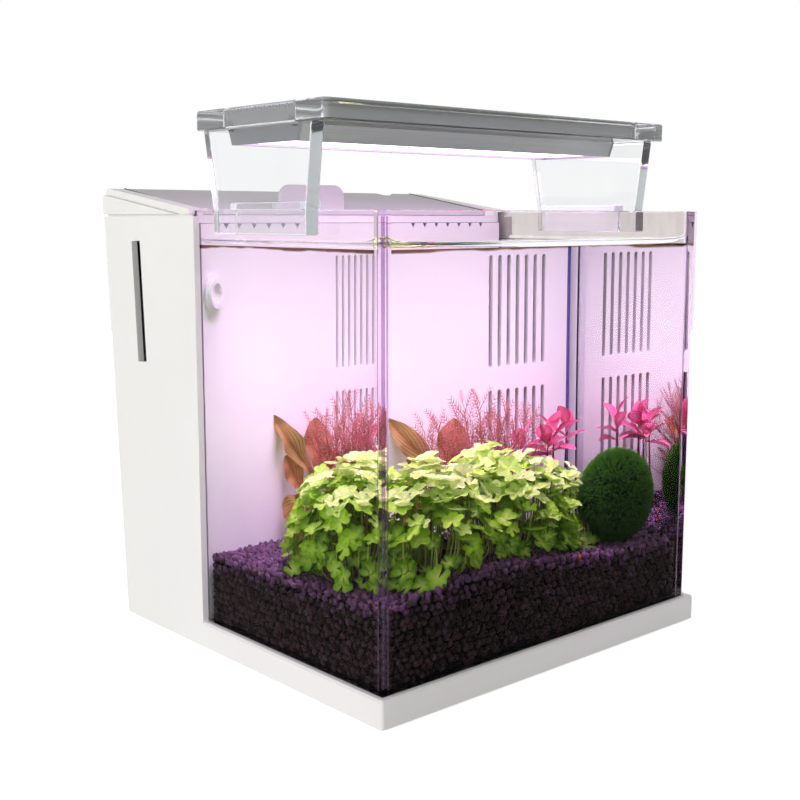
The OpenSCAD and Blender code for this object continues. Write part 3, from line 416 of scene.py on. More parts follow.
# The plate is a frame round a window for the lamp head: up its outer edge and down the window's
bond, round_off = 0.05 * MM, 0.7 * MM
plate_corner, window_corner = 4 * MM, 1.5 * MM
low, high = np.array(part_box("lamp_plate"))
cap_low, cap_high = np.array(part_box("led_end_cap_right"))
plate_middle, plate_half = (low + high)[:2] / 2, (high - low)[:2] / 2
window_middle = np.array([0, (cap_high[1] + cap_low[1]) / 2])
window_half = np.array([cap_high[0] + 2.4 * MM, (cap_high[1] - cap_low[1]) / 2 + 0.3 * MM])
section = ((round_off, low[2]), (0, low[2] + round_off), (0, high[2] - round_off), (round_off, high[2]))
rings = np.stack([rounded_rectangle(plate_middle, plate_half - inset, plate_corner - inset, z)
                  for inset, z in section]
                 + [rounded_rectangle(window_middle, window_half + inset, window_corner + inset, z)
                    for inset, z in section[::-1]])
plate = piece("acrylic_plate", *loft(rings, joined=True), (acrylic, plate_edge_painted_light), "lamp", "clear_acrylic",
              "lamp_plate", smooth=False)
plate.data.polygons.foreach_set("material_index", np.repeat([1, 0], [3 * 24, 5 * 24]).astype(np.int32))

# Each leg narrows from the plate down to the rim, and a stepped hook behind it grips the pane
for side, name in ((-1, "left"), (1, "right")):
    low, high = np.array(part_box("lamp_leg_" + name))
    foot = low[1] + 5.25 * MM, high[1] - 7.75 * MM
    outline = np.array([[foot[0], low[2]], [foot[1], low[2]], [foot[1], rim], [high[1], high[2] - bond],
                        [low[1], high[2] - bond], [foot[0], rim]])
    leg = piece("acrylic_leg_" + name, *extruded(outline, 0, (low[0], high[0])), (acrylic_thick, leg_edge_painted_shade),
                "lamp", "clear_acrylic", "lamp_leg_" + name, smooth=False)
    leg.data.polygons.foreach_set("material_index", np.repeat([1, 0], [6, 2]).astype(np.int32))
    bevelled(leg, round_off)
    low, high = np.array(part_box("lamp_clip_" + name))
    near, far = sorted((abs(low[0]), abs(high[0])))
    tongue = near + 2.7 * MM
    outline = np.array([[near, low[2]], [tongue, low[2]], [tongue, rim + bond], [far - bond, rim + bond],
                        [far - bond, high[2]], [near, high[2]]]) * [side, 1]
    clip = piece("acrylic_clip_" + name, *extruded(outline, 1, (low[1], high[1])), (acrylic,), "lamp",
                 "clear_acrylic", "lamp_clip_" + name, smooth=False)
    bevelled(clip, 0.4 * MM)


# Lamp head: extruded aluminium with cooling fins, satin anodised, and an end cap screwed on each end.
# The extrusion's die leaves fine lines along its length.
def anodised(name, light, dark):
    """Satin anodised aluminium: two close tones and a gloss in fine lines along the extrusion."""
    material, tree = new_material(name)
    streak = np.array([66.7, 0.556, 0.556]) * MM
    line = patches(tree, streak, 3.0)
    gloss = add(tree, "MapRange", {"Value": line, "To Min": 0.34, "To Max": 0.5})
    bump = add(tree, "Bump", {"Height": line, "Strength": 0.1, "Distance": 0.05 * MM})
    shader = add(tree, "BsdfPrincipled", {"Base Color": two_tone(tree, light, dark, streak, 3.0),
                                          "Metallic": 1.0, "Roughness": gloss, "Normal": bump})
    add(tree, "OutputMaterial", {"Surface": shader})
    return material


dress(anodised("satin anodised aluminium", "A8A9AB", "949598"), "led_housing")
dress(anodised("milled and anodised aluminium", "86878A", "7A7B7E"), "led_end_cap_left", "led_end_cap_right")
dress(anodised("black-oxide steel", "4C4D50", "38393B"), "end_cap_screws")
dress(moulded("white solder mask", "F0EFEA", "E6E5DF", 0.5 * MM, 0.35, 0.05), "led_board")
dress(moulded("phosphor resin", "F1E08A", "E8D474", 0.4 * MM, 0.2, 0.05), "led_chips")
dress(rubber, "lamp_cable_grommet")

# Opal acrylic over the lit LEDs: they mix to a pinkish white, a little brighter in places
led_light = (0.9, 0.6, 1.0)
opal, tree = new_material("opal acrylic, lit")
power = add(tree, "MapRange", {"Value": patches(tree, 18.2 * MM, 1.0), "To Min": 4.5, "To Max": 5.5})
shader = add(tree, "BsdfPrincipled", {"Base Color": linear("F4EEF6"), "Roughness": 0.4,
                                      "Emission Color": (*led_light, 1.0), "Emission Strength": power})
add(tree, "OutputMaterial", {"Surface": shader})
dress(opal, "light_diffuser")

# The LEDs' lenses send most of their light straight down
low, high = np.array(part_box("light_diffuser"))
for name, power, spread in (("LED beam", 0.34, 80), ("LED glow", 0.31, 180)):
    beam = bpy.data.lights.new(name, "AREA")
    beam.shape, beam.size, beam.size_y = "RECTANGLE", high[0] - low[0], high[1] - low[1]
    beam.color, beam.energy, beam.spread = led_light, power, np.radians(spread)
    rays = bpy.data.objects.new(name, beam)
    rays.location = (*(low + high)[:2] / 2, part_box("led_housing")[0][2] - MM)
    rays.visible_camera = rays.visible_transmission = False
    bpy.context.scene.collection.objects.link(rays)
    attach(rays, "lamp")


# Soil bed: baked clay pellets of 3 to 5 mm, heaped between the glass and the partition.
# They lie as they fell against the panes, over a mass of the same pellets deeper in, painted dark as shade.
rng = np.random.default_rng(11)
bed_low, bed_high = np.array(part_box("substrate_bed"))
bed_level, bed_fall = 54 * MM, 2.5 * MM
mound_height, mound_place, mound_width = 9.5 * MM, -38 * MM, 62 * MM


def soil_height(x, y):
    """Height of the bed: level along the partition, a little lower to the right, with a mound left of the
    middle, a bell curve across that rises from the partition to the front pane."""
    way = (bed_high[1] - y) / (bed_high[1] - bed_low[1])
    mound = mound_height * np.exp(-((x - mound_place) / mound_width) ** 2)
    return bed_level - bed_fall * np.clip(x / inner[1, 0], 0, 1) + mound * way


def strewn(u, v, pitch, stray):
    """Points strewn over a rectangle: a staggered grid, each point moved by up to a share of the pitch."""
    rows = np.arange(v[0] + pitch / 2, v[1], 0.87 * pitch)
    columns = np.arange(u[0] + pitch / 2, u[1] - pitch / 4, pitch)
    grid_u, grid_v = np.meshgrid(columns, rows)
    grid_u = grid_u + (np.arange(len(rows)) % 2)[:, None] * pitch / 2
    spread = rng.uniform(-stray, stray, (2, *grid_u.shape)) * pitch
    return (grid_u + spread[0]).ravel(), (grid_v + spread[1]).ravel()


def unit(vectors):
    """The vectors along the last axis, each brought to length 1."""
    return vectors / np.linalg.norm(vectors, axis=-1, keepdims=True)


def outward(polar, turn):
    """Unit vectors from an angle off the Z axis and a turn about it."""
    return np.stack([np.sin(polar) * np.cos(turn), np.sin(polar) * np.sin(turn), np.cos(polar)], -1)


def turned_to(normals, spin):
    """Three axes for each normal: two across it, turned about it by an angle, and the normal itself."""
    up = unit(normals)
    side = unit(np.cross(up, np.where(np.abs(up[:, 2:]) > 0.9, [[1.0, 0, 0]], [[0, 0, 1.0]])))
    first = side * np.cos(spin)[:, None] + np.cross(up, side) * np.sin(spin)[:, None]
    return np.stack([first, np.cross(up, first), up], -1)


def repeated(shape, faces, places, axes, sizes):
    """A shape at many places, each with its own axes and sizes, as one set of points and faces."""
    points = places[:, None] + np.einsum("nij,npj->npi", axes, shape * sizes[:, None])
    index = faces[None] + shape.shape[-2] * np.arange(len(places))[:, None, None]
    return points.reshape(-1, 3), index.reshape(-1, faces.shape[1])


def pebble(rings=3, sides=6):
    """A ball as a grid of polar angle and turn, twisted a little and closed at the poles: 36 triangles."""
    polar, turn = np.meshgrid(np.linspace(0, np.pi, rings + 2)[1:-1],
                              np.linspace(0, 2 * np.pi, sides, endpoint=False), indexing="ij")
    points = np.vstack([[[0, 0, 1]], outward(polar, turn + polar).reshape(-1, 3), [[0, 0, -1]]])
    index = 1 + np.arange(rings * sides).reshape(rings, sides)
    index = np.hstack([index, index[:, :1]])
    a, b, c, d = index[:-1, :-1], index[1:, :-1], index[1:, 1:], index[:-1, 1:]
    band = np.concatenate([np.stack([a, b, c], -1).reshape(-1, 3), np.stack([a, c, d], -1).reshape(-1, 3)])
    top = np.stack([np.zeros(sides, int), index[0, :-1], index[0, 1:]], -1)
    bottom = np.stack([np.full(sides, len(points) - 1), index[-1, 1:], index[-1, :-1]], -1)
    return points, np.concatenate([top, band, bottom])


# Baked clay: dark brown pellets with a few of orange grit. The paler purple on top is painted light of the
# pink lamp. They are seen under water, where they mirror little, so their IOR is the one against water
wet_ior = 1.2
clay, tree = new_material("baked clay pellets")
ramp = add(tree, "ValToRGB", {"Fac": add(tree, "Attribute", attribute_name="tint").outputs["Fac"]})
ramp.color_ramp.elements[0].color = linear("0E0908")
ramp.color_ramp.elements[1].color = linear("B4552C")
for position, colour in ((0.1, "2C1E1E"), (0.45, "4A3538"), (0.5, "583E56"), (0.95, "8A6088"),
                         (0.96, "B0522C")):
    ramp.color_ramp.elements.new(position).color = linear(colour)
dust = patches(tree, 1.11 * MM, 3.0)
worn = add(tree, "MapRange", {"Value": dust, "To Max": 0.4})
tone = add(tree, "Mix", {0: worn, 6: ramp, 7: linear("241820")}, data_type="RGBA").outputs[2]
bump = add(tree, "Bump", {"Height": dust, "Strength": 0.3, "Distance": 0.2 * MM})
shader = add(tree, "BsdfPrincipled", {"Base Color": tone, "Roughness": 0.45, "IOR": wet_ior, "Normal": bump})
add(tree, "OutputMaterial", {"Surface": shader})
pellet, pellet_faces = pebble()


def pellets(name, places, radii, painted_light_and_shade):
    """Pellets at these places: each a ball with its own radius, turn, three widths and dents. Few are
    orange. The last argument is painted light and shade: above 0 it lifts their colour towards the paler
    purple, below 0 it sinks it to the darkest brown."""
    count = len(places)
    axes = turned_to(rng.normal(size=(count, 3)), rng.uniform(0, 6.28, count))
    dents = 1 + rng.uniform(-0.05, 0.05, (count, len(pellet), 1))
    sizes = radii[:, None] * rng.uniform(0.88, 1.08, (count, 3))
    points, faces = repeated(pellet * dents, pellet_faces, places, axes, sizes)
    tint = np.clip(painted_light_and_shade + rng.uniform(0, 0.45, count), 0, 0.95)
    tint[(rng.random(count) < 0.006) & (tint > 0.5)] = 1
    piece(name, points, faces, (clay,), "tank", "soil", "substrate_bed",
          values={"tint": np.repeat(tint, len(pellet))})


# Two layers line the panes and the partition. The first is painted paler towards the top, as light, and the
# second darkest, as shade in the first one's gaps
gap, edge, layer_step = 0.5 * MM, 3.4 * MM, 3 * MM
lining = []
for layer in (0, 1):
    for wall in ("front", "left", "right", "back"):
        along_x = wall in ("front", "back")
        u, z = strewn((bed_low[0], bed_high[0]) if along_x else (bed_low[1], bed_high[1]),
                      (bed_low[2], 66 * MM), 4.4 * MM, 0.2)
        radius = rng.uniform(1.85, 2.3, len(u)) * MM
        inset = radius * 1.22 + gap + layer * layer_step + rng.uniform(0, 0.5, len(u)) * MM
        x = u if along_x else (bed_low[0] + inset if wall == "left" else bed_high[0] - inset)
        y = (bed_low[1] + inset if wall == "front" else bed_high[1] - inset) if along_x else u
        x = np.clip(x, bed_low[0] + edge, bed_high[0] - edge)
        y = np.clip(y, bed_low[1] + edge, bed_high[1] - edge)
        keep = (z < soil_height(x, y)) & (z > bed_low[2] + radius)
        lining.append(np.column_stack([x, y, z, radius, np.full(len(x), layer)])[keep])
lining = np.concatenate(lining)
sunk = soil_height(lining[:, 0], lining[:, 1]) - lining[:, 2]
painted_light_and_shade = np.interp(sunk, [0, 10 * MM], [0.45, 0.04]) - 0.5 * lining[:, 4]
pellets("soil_against_glass", lining[:, :3], lining[:, 3], painted_light_and_shade)

# The top layer lies loose, half sunk, and the core below it fills the bed
margin = 3 * MM
x, y = strewn((bed_low[0] + margin, bed_high[0] - margin), (bed_low[1] + margin, bed_high[1] - margin),
              4.3 * MM, 0.27)
radius = rng.uniform(1.75, 2.3, len(x)) * MM
z = soil_height(x, y) - 0.4 * radius + rng.uniform(-1.3, 0.8, len(x)) * MM
# The top layer is painted paler purple, as light of the pink lamp
pellets("soil_surface", np.column_stack([x, y, z]), radius, 0.5)
cover = 5 * MM
profile = np.linspace(bed_low[1] + cover, bed_high[1] - cover, 12)
rings = []
for x in np.linspace(bed_low[0] + cover, bed_high[0] - cover, 16):
    crown = np.column_stack([profile, soil_height(x, profile) - cover])
    outline = np.vstack([crown, [[profile[-1], bed_low[2] + MM], [profile[0], bed_low[2] + MM]]])
    rings.append(np.insert(outline, 0, x, axis=1))
# The core reads no tint, so it takes the darkest brown: painted shade where it shows between pellets
piece("soil_core", *loft(np.stack(rings)), (clay,), "tank", "soil", "substrate_bed", smooth=False)


# Carpet plant: three cushions of small lobed leaves on thin stalks, painted paler where they meet the light.
# The leaves stand closest on the outside; below them the cushions are stalks and older leaves, painted darker
# as shade.
def leafy(name, young, old, deep, vein, clear=0.25, ribs=0, roughness=0.5):
    """Leaf: three tones by its age, which on some plants carries painted light and shade as well, a paler
    middle or side veins that run out from it, fine cells in its relief, and light let through. Under water it
    mirrors little."""
    material, tree = new_material(name)
    age_and_shade, reach, along = (add(tree, "Attribute", attribute_name=key).outputs["Fac"]
                         for key in ("tint", "reach", "along"))
    cell = patches(tree, 1.43 * MM)
    spot = add(tree, "MapRange", {"Value": cell, "To Min": -0.2, "To Max": 0.2})
    spotted = add(tree, "Math", {0: age_and_shade, 1: spot}, operation="ADD", use_clamp=True)
    ramp = add(tree, "ValToRGB", {"Fac": spotted})
    ramp.color_ramp.elements[0].color = linear(young)
    ramp.color_ramp.elements[1].color = linear(deep)
    ramp.color_ramp.elements.new(0.55).color = linear(old)
    middle = 0.3 if ribs else 1.0
    fade = add(tree, "MapRange", {"Value": reach, "From Max": middle, "To Min": 0.6, "To Max": 0.0})
    if ribs:
        slant = add(tree, "Math", {0: reach, 1: -0.7, 2: along}, operation="MULTIPLY_ADD")
        wave = add(tree, "Math", {0: slant, 1: 1 / ribs}, operation="PINGPONG")
        line = add(tree, "MapRange", {"Value": wave, "From Max": 0.4 / ribs, "To Min": 0.9, "To Max": 0.0})
        fade = add(tree, "Math", {0: fade, 1: line}, operation="MAXIMUM")
    tone = add(tree, "Mix", {0: fade, 6: ramp, 7: linear(vein)}, data_type="RGBA").outputs[2]
    bump = add(tree, "Bump", {"Height": cell, "Strength": 0.25, "Distance": 0.3 * MM})
    skin = add(tree, "BsdfPrincipled", {"Base Color": tone, "Roughness": roughness, "IOR": wet_ior,
                                        "Normal": bump})
    glow = add(tree, "BsdfTranslucent", {"Color": tone})
    add(tree, "OutputMaterial", {"Surface": add(tree, "MixShader", {0: clear, 1: skin, 2: glow})})
    return material


def grid_faces(rows, columns):
    """Quads of a grid of rows and columns of points."""
    index = np.arange(rows * columns).reshape(rows, columns)
    return np.stack([index[:-1, :-1], index[1:, :-1], index[1:, 1:], index[:-1, 1:]], -1).reshape(-1, 4)


def lobed_leaf(rings=3, spokes=27):
    """A round leaf in polar form: its radius swells five times round into lobes, with a cleft at the stalk,
    and a shallow cup with a fold along each lobe. Also gives the distance from the stalk."""
    reach, turn = np.meshgrid(np.linspace(0.03, 1, rings), np.radians(np.linspace(-166, 166, spokes)),
                              indexing="ij")
    radius = reach * (0.6 + 0.4 * np.abs(np.cos(2.5 * turn)) ** 0.75)
    height = 0.22 * radius ** 2 - 0.1 * radius * np.cos(5 * turn)
    points = np.stack([radius * np.sin(turn), radius * np.cos(turn), height], -1)
    return points.reshape(-1, 3), grid_faces(rings, spokes), reach.ravel()


def tubes(paths, radii, sides=3):
    """Tubes round many paths at once, with the same radii along each: a ring of points across each path at
    each of its points."""
    along = unit(np.gradient(paths, axis=1))
    side = unit(np.cross(along, [0.31, 0.87, 0.38]))
    turn = np.linspace(0, 2 * np.pi, sides, endpoint=False)[:, None]
    ring = side[:, :, None] * np.cos(turn) + np.cross(along, side)[:, :, None] * np.sin(turn)
    points = paths[:, :, None] + np.array(radii)[:, None, None] * ring
    count, steps = paths.shape[:2]
    index = np.arange(count * steps * sides).reshape(count, steps, sides)
    index = np.concatenate([index, index[:, :, :1]], 2)
    quads = np.stack([index[:, :-1, :-1], index[:, :-1, 1:], index[:, 1:, 1:], index[:, 1:, :-1]], -1)
    return points.reshape(-1, 3), quads.reshape(-1, 4)


# The young tone's near-white cream is painted light, the lamp's glare on the tops; the deep green is painted
# shade
leaf_green = leafy("pennywort leaf", "F2F8BE", "9CD01C", "588E0A", "DCF07A")
stalk_green = leafy("leaf stalk", "A8C060", "7E8A3C", "6B5A34", "A8C060", 0.1)
leaf, leaf_faces, leaf_reach = lobed_leaf()

# Each cushion is a ball: the place of its middle and its radius. Leaves keep off the moss ball and the panes
cushions = np.array([[-60, -65, 68, 48], [-4, -61, 66.5, 49.5], [38, -57, 64.5, 37.5]]) * MM
moss_spot = np.mean(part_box("moss_ball"), axis=0)
moss_room, pane_room = 33 * MM, 7 * MM


def on_cushions(count, depth, lowest):
    """Random places on the cushions' outsides, some way in, and the way out there: off the soil, the
    other cushions and the moss ball."""
    which = rng.choice(3, count, p=[0.38, 0.4, 0.22])
    height = rng.uniform(lowest, 1, count)
    turn = rng.uniform(0, 2 * np.pi, count)
    flat = np.sqrt(1 - height ** 2)
    out = np.column_stack([flat * np.cos(turn), flat * np.sin(turn), height])
    ball = cushions[which]
    lumps = 1 + 0.05 * np.sin(9 * out[:, 0] + 2 * which) * np.sin(8 * out[:, 1] + which)
    places = ball[:, :3] + out * (ball[:, 3] * lumps * rng.uniform(*depth, count))[:, None]
    apart = np.linalg.norm(places[:, None] - cushions[None, :, :3], axis=2) / cushions[:, 3]
    apart[np.arange(count), which] = 9
    keep = (apart.min(1) > depth[0]) & (places[:, 2] > soil_height(places[:, 0], places[:, 1]) + 2 * MM)
    keep &= np.linalg.norm(places - moss_spot, axis=1) > moss_room
    keep &= (np.abs(places[:, 0]) < inner[1, 0] - pane_room) & (places[:, 1] > inner[0, 1] + pane_room)
    return places[keep], out[keep], which[keep]


for name, count, depth, size, ages in (("carpet_leaves", 660, (0.9, 1.04), (4.4, 8.6), (0.0, 0.4)),
                                       ("carpet_underleaves", 480, (0.72, 0.9), (4.5, 6.5), (0.6, 1.0))):
    places, out, which = on_cushions(count, depth, -0.35)
    normals = 0.55 * out + [0, 0, 0.75] + 0.3 * rng.normal(size=out.shape)
    axes = turned_to(normals, rng.uniform(0, 6.28, len(places)))
    sizes = rng.uniform(*size, (len(places), 1)) * MM * rng.uniform(0.9, 1.1, (len(places), 3))
    points, faces = repeated(leaf, leaf_faces, places, axes, sizes)
    # Leaves low on a cushion's side, and the underleaves, are painted older and darker: painted shade on top
    # of real age
    age_and_shade = rng.uniform(*ages, len(places)) + 0.75 * (1 - np.clip(out[:, 2], 0, 1)) ** 1.3
    piece(name, points, faces, (leaf_green,), "tank", "leaf_green", "carpet_plant",
          values={"tint": np.repeat(age_and_shade, len(leaf)), "reach": np.tile(leaf_reach, len(places))})

# Stalks bow outward from the soil to the leaves
places, out, which = on_cushions(420, (0.84, 0.98), -0.2)
roots = cushions[which, :3] + (places - cushions[which, :3]) * [0.62, 0.62, 0]
roots[:, 2] = soil_height(roots[:, 0], roots[:, 1]) - 2 * MM
step = np.linspace(0, 1, 6)[:, None]
bow = (out * [1, 1, 0])[:, None] * 7 * MM * np.sin(np.pi * step)
paths = roots[:, None] * (1 - step) + places[:, None] * step + bow
points, faces = tubes(paths, np.array([0.0, 0.6, 0.5, 0.45, 0.4, 0.0]) * MM)
piece("carpet_stalks", points, faces, (stalk_green,), "tank", "leaf_green", "carpet_plant",
      values={"tint": np.repeat(rng.uniform(0, 1, len(paths)), 18), "reach": np.ones(len(points))})


# Red-leaved plant: broad leaves on two short stems before the partition, olive to brown-red with red veins.
# A fold along the middle and a wavy margin stiffen each leaf, and it arches over at its tip.
def blade(rows, columns, widest, fold, arch, wave):
    """A leaf of length 1 along Y: its half width rises and falls along it, with the widest place nearer the
    tip for a larger power, the middle is folded down, the tip sinks as the square of the way along, and the
    margin waves. Also gives the way out to the margin and the way along."""
    along, across = np.meshgrid(np.linspace(0, 1, rows), np.linspace(-1, 1, columns), indexing="ij")
    half = np.sin(np.pi * np.clip(along, 0.03, 0.985) ** widest) ** 0.8 * 0.5
    height = fold * np.abs(across) * half - arch * along ** 2 + wave * np.sin(14 * along) * across * half
    points = np.stack([across * half, along, height], -1)
    return points.reshape(-1, 3), grid_faces(rows, columns), np.abs(across).ravel(), along.ravel()


def blades(name, form, bases, tips, widths, facing, ages, stems, material, slot, node):
    """Leaves from their bases to their tips, with widths and the way they face, on stems from a foot to a
    top. Leaves that reach the partition lie against it."""
    leaf, leaf_faces, reach, along = form
    length = np.linalg.norm(tips - bases, axis=1)
    forward = unit(tips - bases)
    upward = unit(facing - np.einsum("ij,ij->i", facing, forward)[:, None] * forward)
    axes = np.stack([np.cross(forward, upward), forward, upward], -1)
    sizes = np.column_stack([widths, length, length])
    points, faces = repeated(leaf, leaf_faces, bases * MM, axes, sizes * MM)
    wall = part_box("filter_partition")[0][1]
    points[:, 1] = np.minimum(points[:, 1], wall - 0.3 * MM * (1 + np.sin(points[:, 2] / MM)))
    paths = np.array(stems)[:, :1] + np.diff(stems, axis=1) * np.linspace(0, 1, 6)[:, None]
    stem_points, stem_faces = tubes(paths * MM, np.array([0, 1.0, 0.9, 0.8, 0.6, 0]) * MM, 5)
    values = {"tint": np.repeat(ages, len(leaf)), "reach": np.tile(reach, len(bases)),
              "along": np.tile(along, len(bases))}
    piece(name, np.vstack([points, stem_points]), np.vstack([faces, stem_faces + len(points)]), (material,),
          "tank", slot, node,
          values={key: np.append(value, np.ones(len(stem_points))) for key, value in values.items()})


# Each leaf's row gives its base, its tip, its width in millimetres and its age from 0 to 1
leaf_red = leafy("brown-red leaf", "B8A668", "B08654", "A0584A", "922C26", 0.25, 11)
broad = np.array([[6, 18, 87, -33, 26, 128, 15, 0.2], [9, 18, 89, 13, 23, 125, 21, 0.75],
                  [-9, 18, 82, -28, 22, 69, 16, 0.3], [-14, 16, 62, -35, 11, 59, 18, 0.5],
                  [9, 17, 84, 34, 18, 106, 20, 0.7], [8, 16, 74, 31, 5, 92, 17, 0.8],
                  [-14, 17, 70, -34, 4, 84, 16, 0.6], [8, 15, 68, 18, -8, 88, 16, 0.9],
                  [-15, 16, 66, -14, -8, 84, 15, 0.7], [-10, 18, 80, -20, 26, 104, 15, 0.6]])
blades("broad_leaves", blade(13, 7, 1.5, 0.14, 0.12, 0.16), broad[:, :3], broad[:, 3:6], broad[:, 6],
       np.tile([-0.6, -0.72, 0.35], (len(broad), 1)), broad[:, 7],
       [[[8, 14, 50], [9, 18, 92]], [[-18, 16, 50], [-9, 18, 84]]], leaf_red, "leaf_red", "red_leaf_plant")


# Feathery plant: thin branching stems with combs of needle leaves, rose at the tips and red below.
# It stands in three bunches behind the carpet, and each bunch spreads like a fan.
def needle():
    """A needle of length 1 along Y: three sides from a base triangle to a point, bent up a little."""
    points = np.array([[-0.5, 0, 0], [0.5, 0, 0], [0, 0, 0.8], [-0.35, 0.55, 0.06], [0.35, 0.55, 0.06],
                       [0, 0.55, 0.5], [0, 1, 0.25]])
    faces = np.array([[0, 1, 4, 3], [1, 2, 5, 4], [2, 0, 3, 5], [3, 4, 6, 6], [4, 5, 6, 6], [5, 3, 6, 6]])
    return points, faces


leaf_rose = leafy("rose needle leaf", "D08684", "B45E58", "96423A", "B45E58", 0.3)
bunch = np.repeat([[2, -2, 84], [19, -5, 90], [38, -7, 80]], 5, axis=0)
count = len(bunch)
fan = np.tile(np.linspace(-1, 1, 5), 3) + rng.uniform(-0.15, 0.15, count)
foot = np.column_stack([bunch[:, 0] + 4 * fan, bunch[:, 1] + rng.uniform(-4, 4, count), np.full(count, 50.0)])
rise = bunch[:, 2] * (1 - 0.16 * fan ** 2) * rng.uniform(0.88, 1, count)
top = foot + np.column_stack([25 * fan, rng.uniform(-5, 5, count), rise])
sag = 5
way = np.linspace(0, 1, 8)
stem_paths = foot[:, None] + (top - foot)[:, None] * way[:, None]
stem_paths[..., 0] -= sag * fan[:, None] * np.sin(np.pi * way)

# Side twigs go round each stem, and each twig carries a comb of needles on both sides
twigs, needle_width = 20, 0.5
spot = np.tile(np.linspace(0.2, 1, twigs), count)
which = np.repeat(np.arange(count), twigs)
base = foot[which] + (top - foot)[which] * spot[:, None]
base[:, 0] -= sag * fan[which] * np.sin(np.pi * spot)
turn = np.tile(np.arange(twigs) * 2.4, count) + which
out = np.column_stack([np.cos(turn), 0.6 * np.sin(turn), 0 * turn])
tilt = np.radians(np.interp(spot, [0.2, 1], [68, 34]) + rng.uniform(-8, 8, len(spot)))[:, None]
forward = unit(unit(top - foot)[which] * np.cos(tilt) + out * np.sin(tilt))
side = unit(np.cross(forward, [-0.6, -0.75, 0.28]))
length = np.interp(spot, [0.2, 0.7, 1], [25, 23, 14]) * rng.uniform(0.7, 1.1, len(spot))
bases, ways, lengths, ages = [base], [forward], [length], [1.2 - spot]
for place in (0.3, 0.45, 0.6, 0.75, 0.9):
    for hand in (-1, 1):
        bases.append(base + forward * (length * place)[:, None])
        ways.append(0.78 * forward + 0.62 * hand * side)
        lengths.append(length * (0.4 - 0.2 * place))
        ages.append(1.0 - spot)
bases, ways, lengths, ages = map(np.concatenate, (bases, ways, lengths, ages))
ways = unit(ways)
across = unit(np.cross(ways, [0.3, 0.2, 0.93]))
axes = np.stack([across, ways, np.cross(across, ways)], -1)
width = np.full(len(lengths), needle_width)
spine, spine_faces = needle()
points, faces = repeated(spine, spine_faces, bases * MM, axes, np.column_stack([width, lengths, width]) * MM)
faces = [face[:3] if face[2] == face[3] else face for face in faces.tolist()]
stem_points, stem_faces = tubes(stem_paths * MM, np.array([0, 0.7, 0.65, 0.6, 0.5, 0.4, 0.3, 0]) * MM, 5)
tint = np.append(np.repeat(np.clip(ages, 0, 1), len(spine)), np.full(len(stem_points), 0.7))
piece("feathery_stems", np.vstack([points, stem_points]), faces + (stem_faces + len(points)).tolist(),
      (leaf_rose,), "tank", "leaf_pink", "feather_plant", values={"tint": tint, "reach": np.ones(len(tint))})


# Pink stems: upright shoots that end in a star of broad pointed leaves, bright pink towards the lamp.
# They stand at the right, before the intake.
leaf_pink = leafy("pink leaf", "F07AA8", "D84A7C", "8A1F56", "F49ABC", 0.3)
stems, bases, tips = [], [], []
for x, y, tall in ((70, -8, 60), (79, -2, 63), (94, 4, 64), (62, 14, 56)):
    foot = np.array([x, y, 50.0])
    top = np.array([x + rng.uniform(-4, 4), y + rng.uniform(-3, 3), 50 + tall])
    stems.append([foot, top])
    turn = np.arange(7) * 2.4 + rng.uniform(0, 6)
    out = outward(np.radians(np.linspace(84, 26, 7)), turn)
    bases.append(top - (top - foot) * np.linspace(0.25, 0, 7)[:, None])
    tips.append(bases[-1] + out * np.linspace(22, 16, 7)[:, None])
bases, tips = np.concatenate(bases), np.concatenate(tips)
blades("pink_shoots", blade(7, 5, 1.0, 0.2, 0.2, 0.05), bases, tips, rng.uniform(9, 13, len(bases)),
       [0, 0, 1] + 0.2 * rng.normal(size=bases.shape), rng.uniform(0, 0.8, len(bases)), stems, leaf_pink,
       "leaf_pink", "pink_stem_plant")


# Moss ball: a round ball of fine algae threads, dark green, soft to the touch. Its underside, its core and
# its threads' roots are painted darker, as shade.
# The threads grow outward from its middle and end at the same distance, so it is round all over.
# The near-black vein tone is painted shade at the threads' roots, and the deep tone, which the core takes,
# painted shade inside
moss = leafy("moss threads", "5C9E2A", "2C6212", "0E2406", "0C1E06", 0.15, roughness=0.9)
low, high = np.array(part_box("moss_ball"))
moss_radius = (high[0] - low[0]) / 2
moss_middle = np.array([*((low + high)[:2] / 2), high[2] - moss_radius])
polar, turn = np.meshgrid(np.linspace(0, np.pi, 40), np.linspace(0, 2 * np.pi, 80, endpoint=False),
                          indexing="ij")
out = outward(polar, turn)
lump = 1 + 0.02 * np.sin(11 * out[..., 0]) * np.sin(13 * out[..., 1]) * np.sin(12 * out[..., 2])
points, faces = loft(moss_middle + 0.87 * moss_radius * out * lump[..., None])
piece("moss_core", points, faces, (moss,), "tank", "moss", "moss_ball",
      values={"tint": np.ones(len(points)), "reach": np.ones(len(points))})
count = 9000
out = unit(rng.normal(size=(count, 3)))
bend = 0.35 * rng.normal(size=(count, 3))
step = np.linspace(0, 1, 4)[None, :, None]
reach = rng.uniform(0.95, 1.0, count)[:, None, None]
paths = out[:, None] * (0.86 + (reach - 0.86) * step) + bend[:, None] * 0.12 * step ** 2
paths = moss_middle + moss_radius * paths / np.maximum(np.linalg.norm(paths, axis=2, keepdims=True), 1)
points, faces = tubes(paths, np.array([0.0, 0.16, 0.12, 0.0]) * MM)
# Threads on the underside are painted darker as shade, and each thread darkens towards its root, painted
# shade deep in the ball
tint = np.repeat(np.clip(0.4 - 0.45 * out[:, 2] + rng.uniform(-0.3, 0.3, count), 0, 1), 12)
piece("moss_threads", points, faces, (moss,), "tank", "moss", "moss_ball",
      values={"tint": tint, "reach": np.tile(np.repeat([0.2, 0.6, 1, 1], 3), count)})


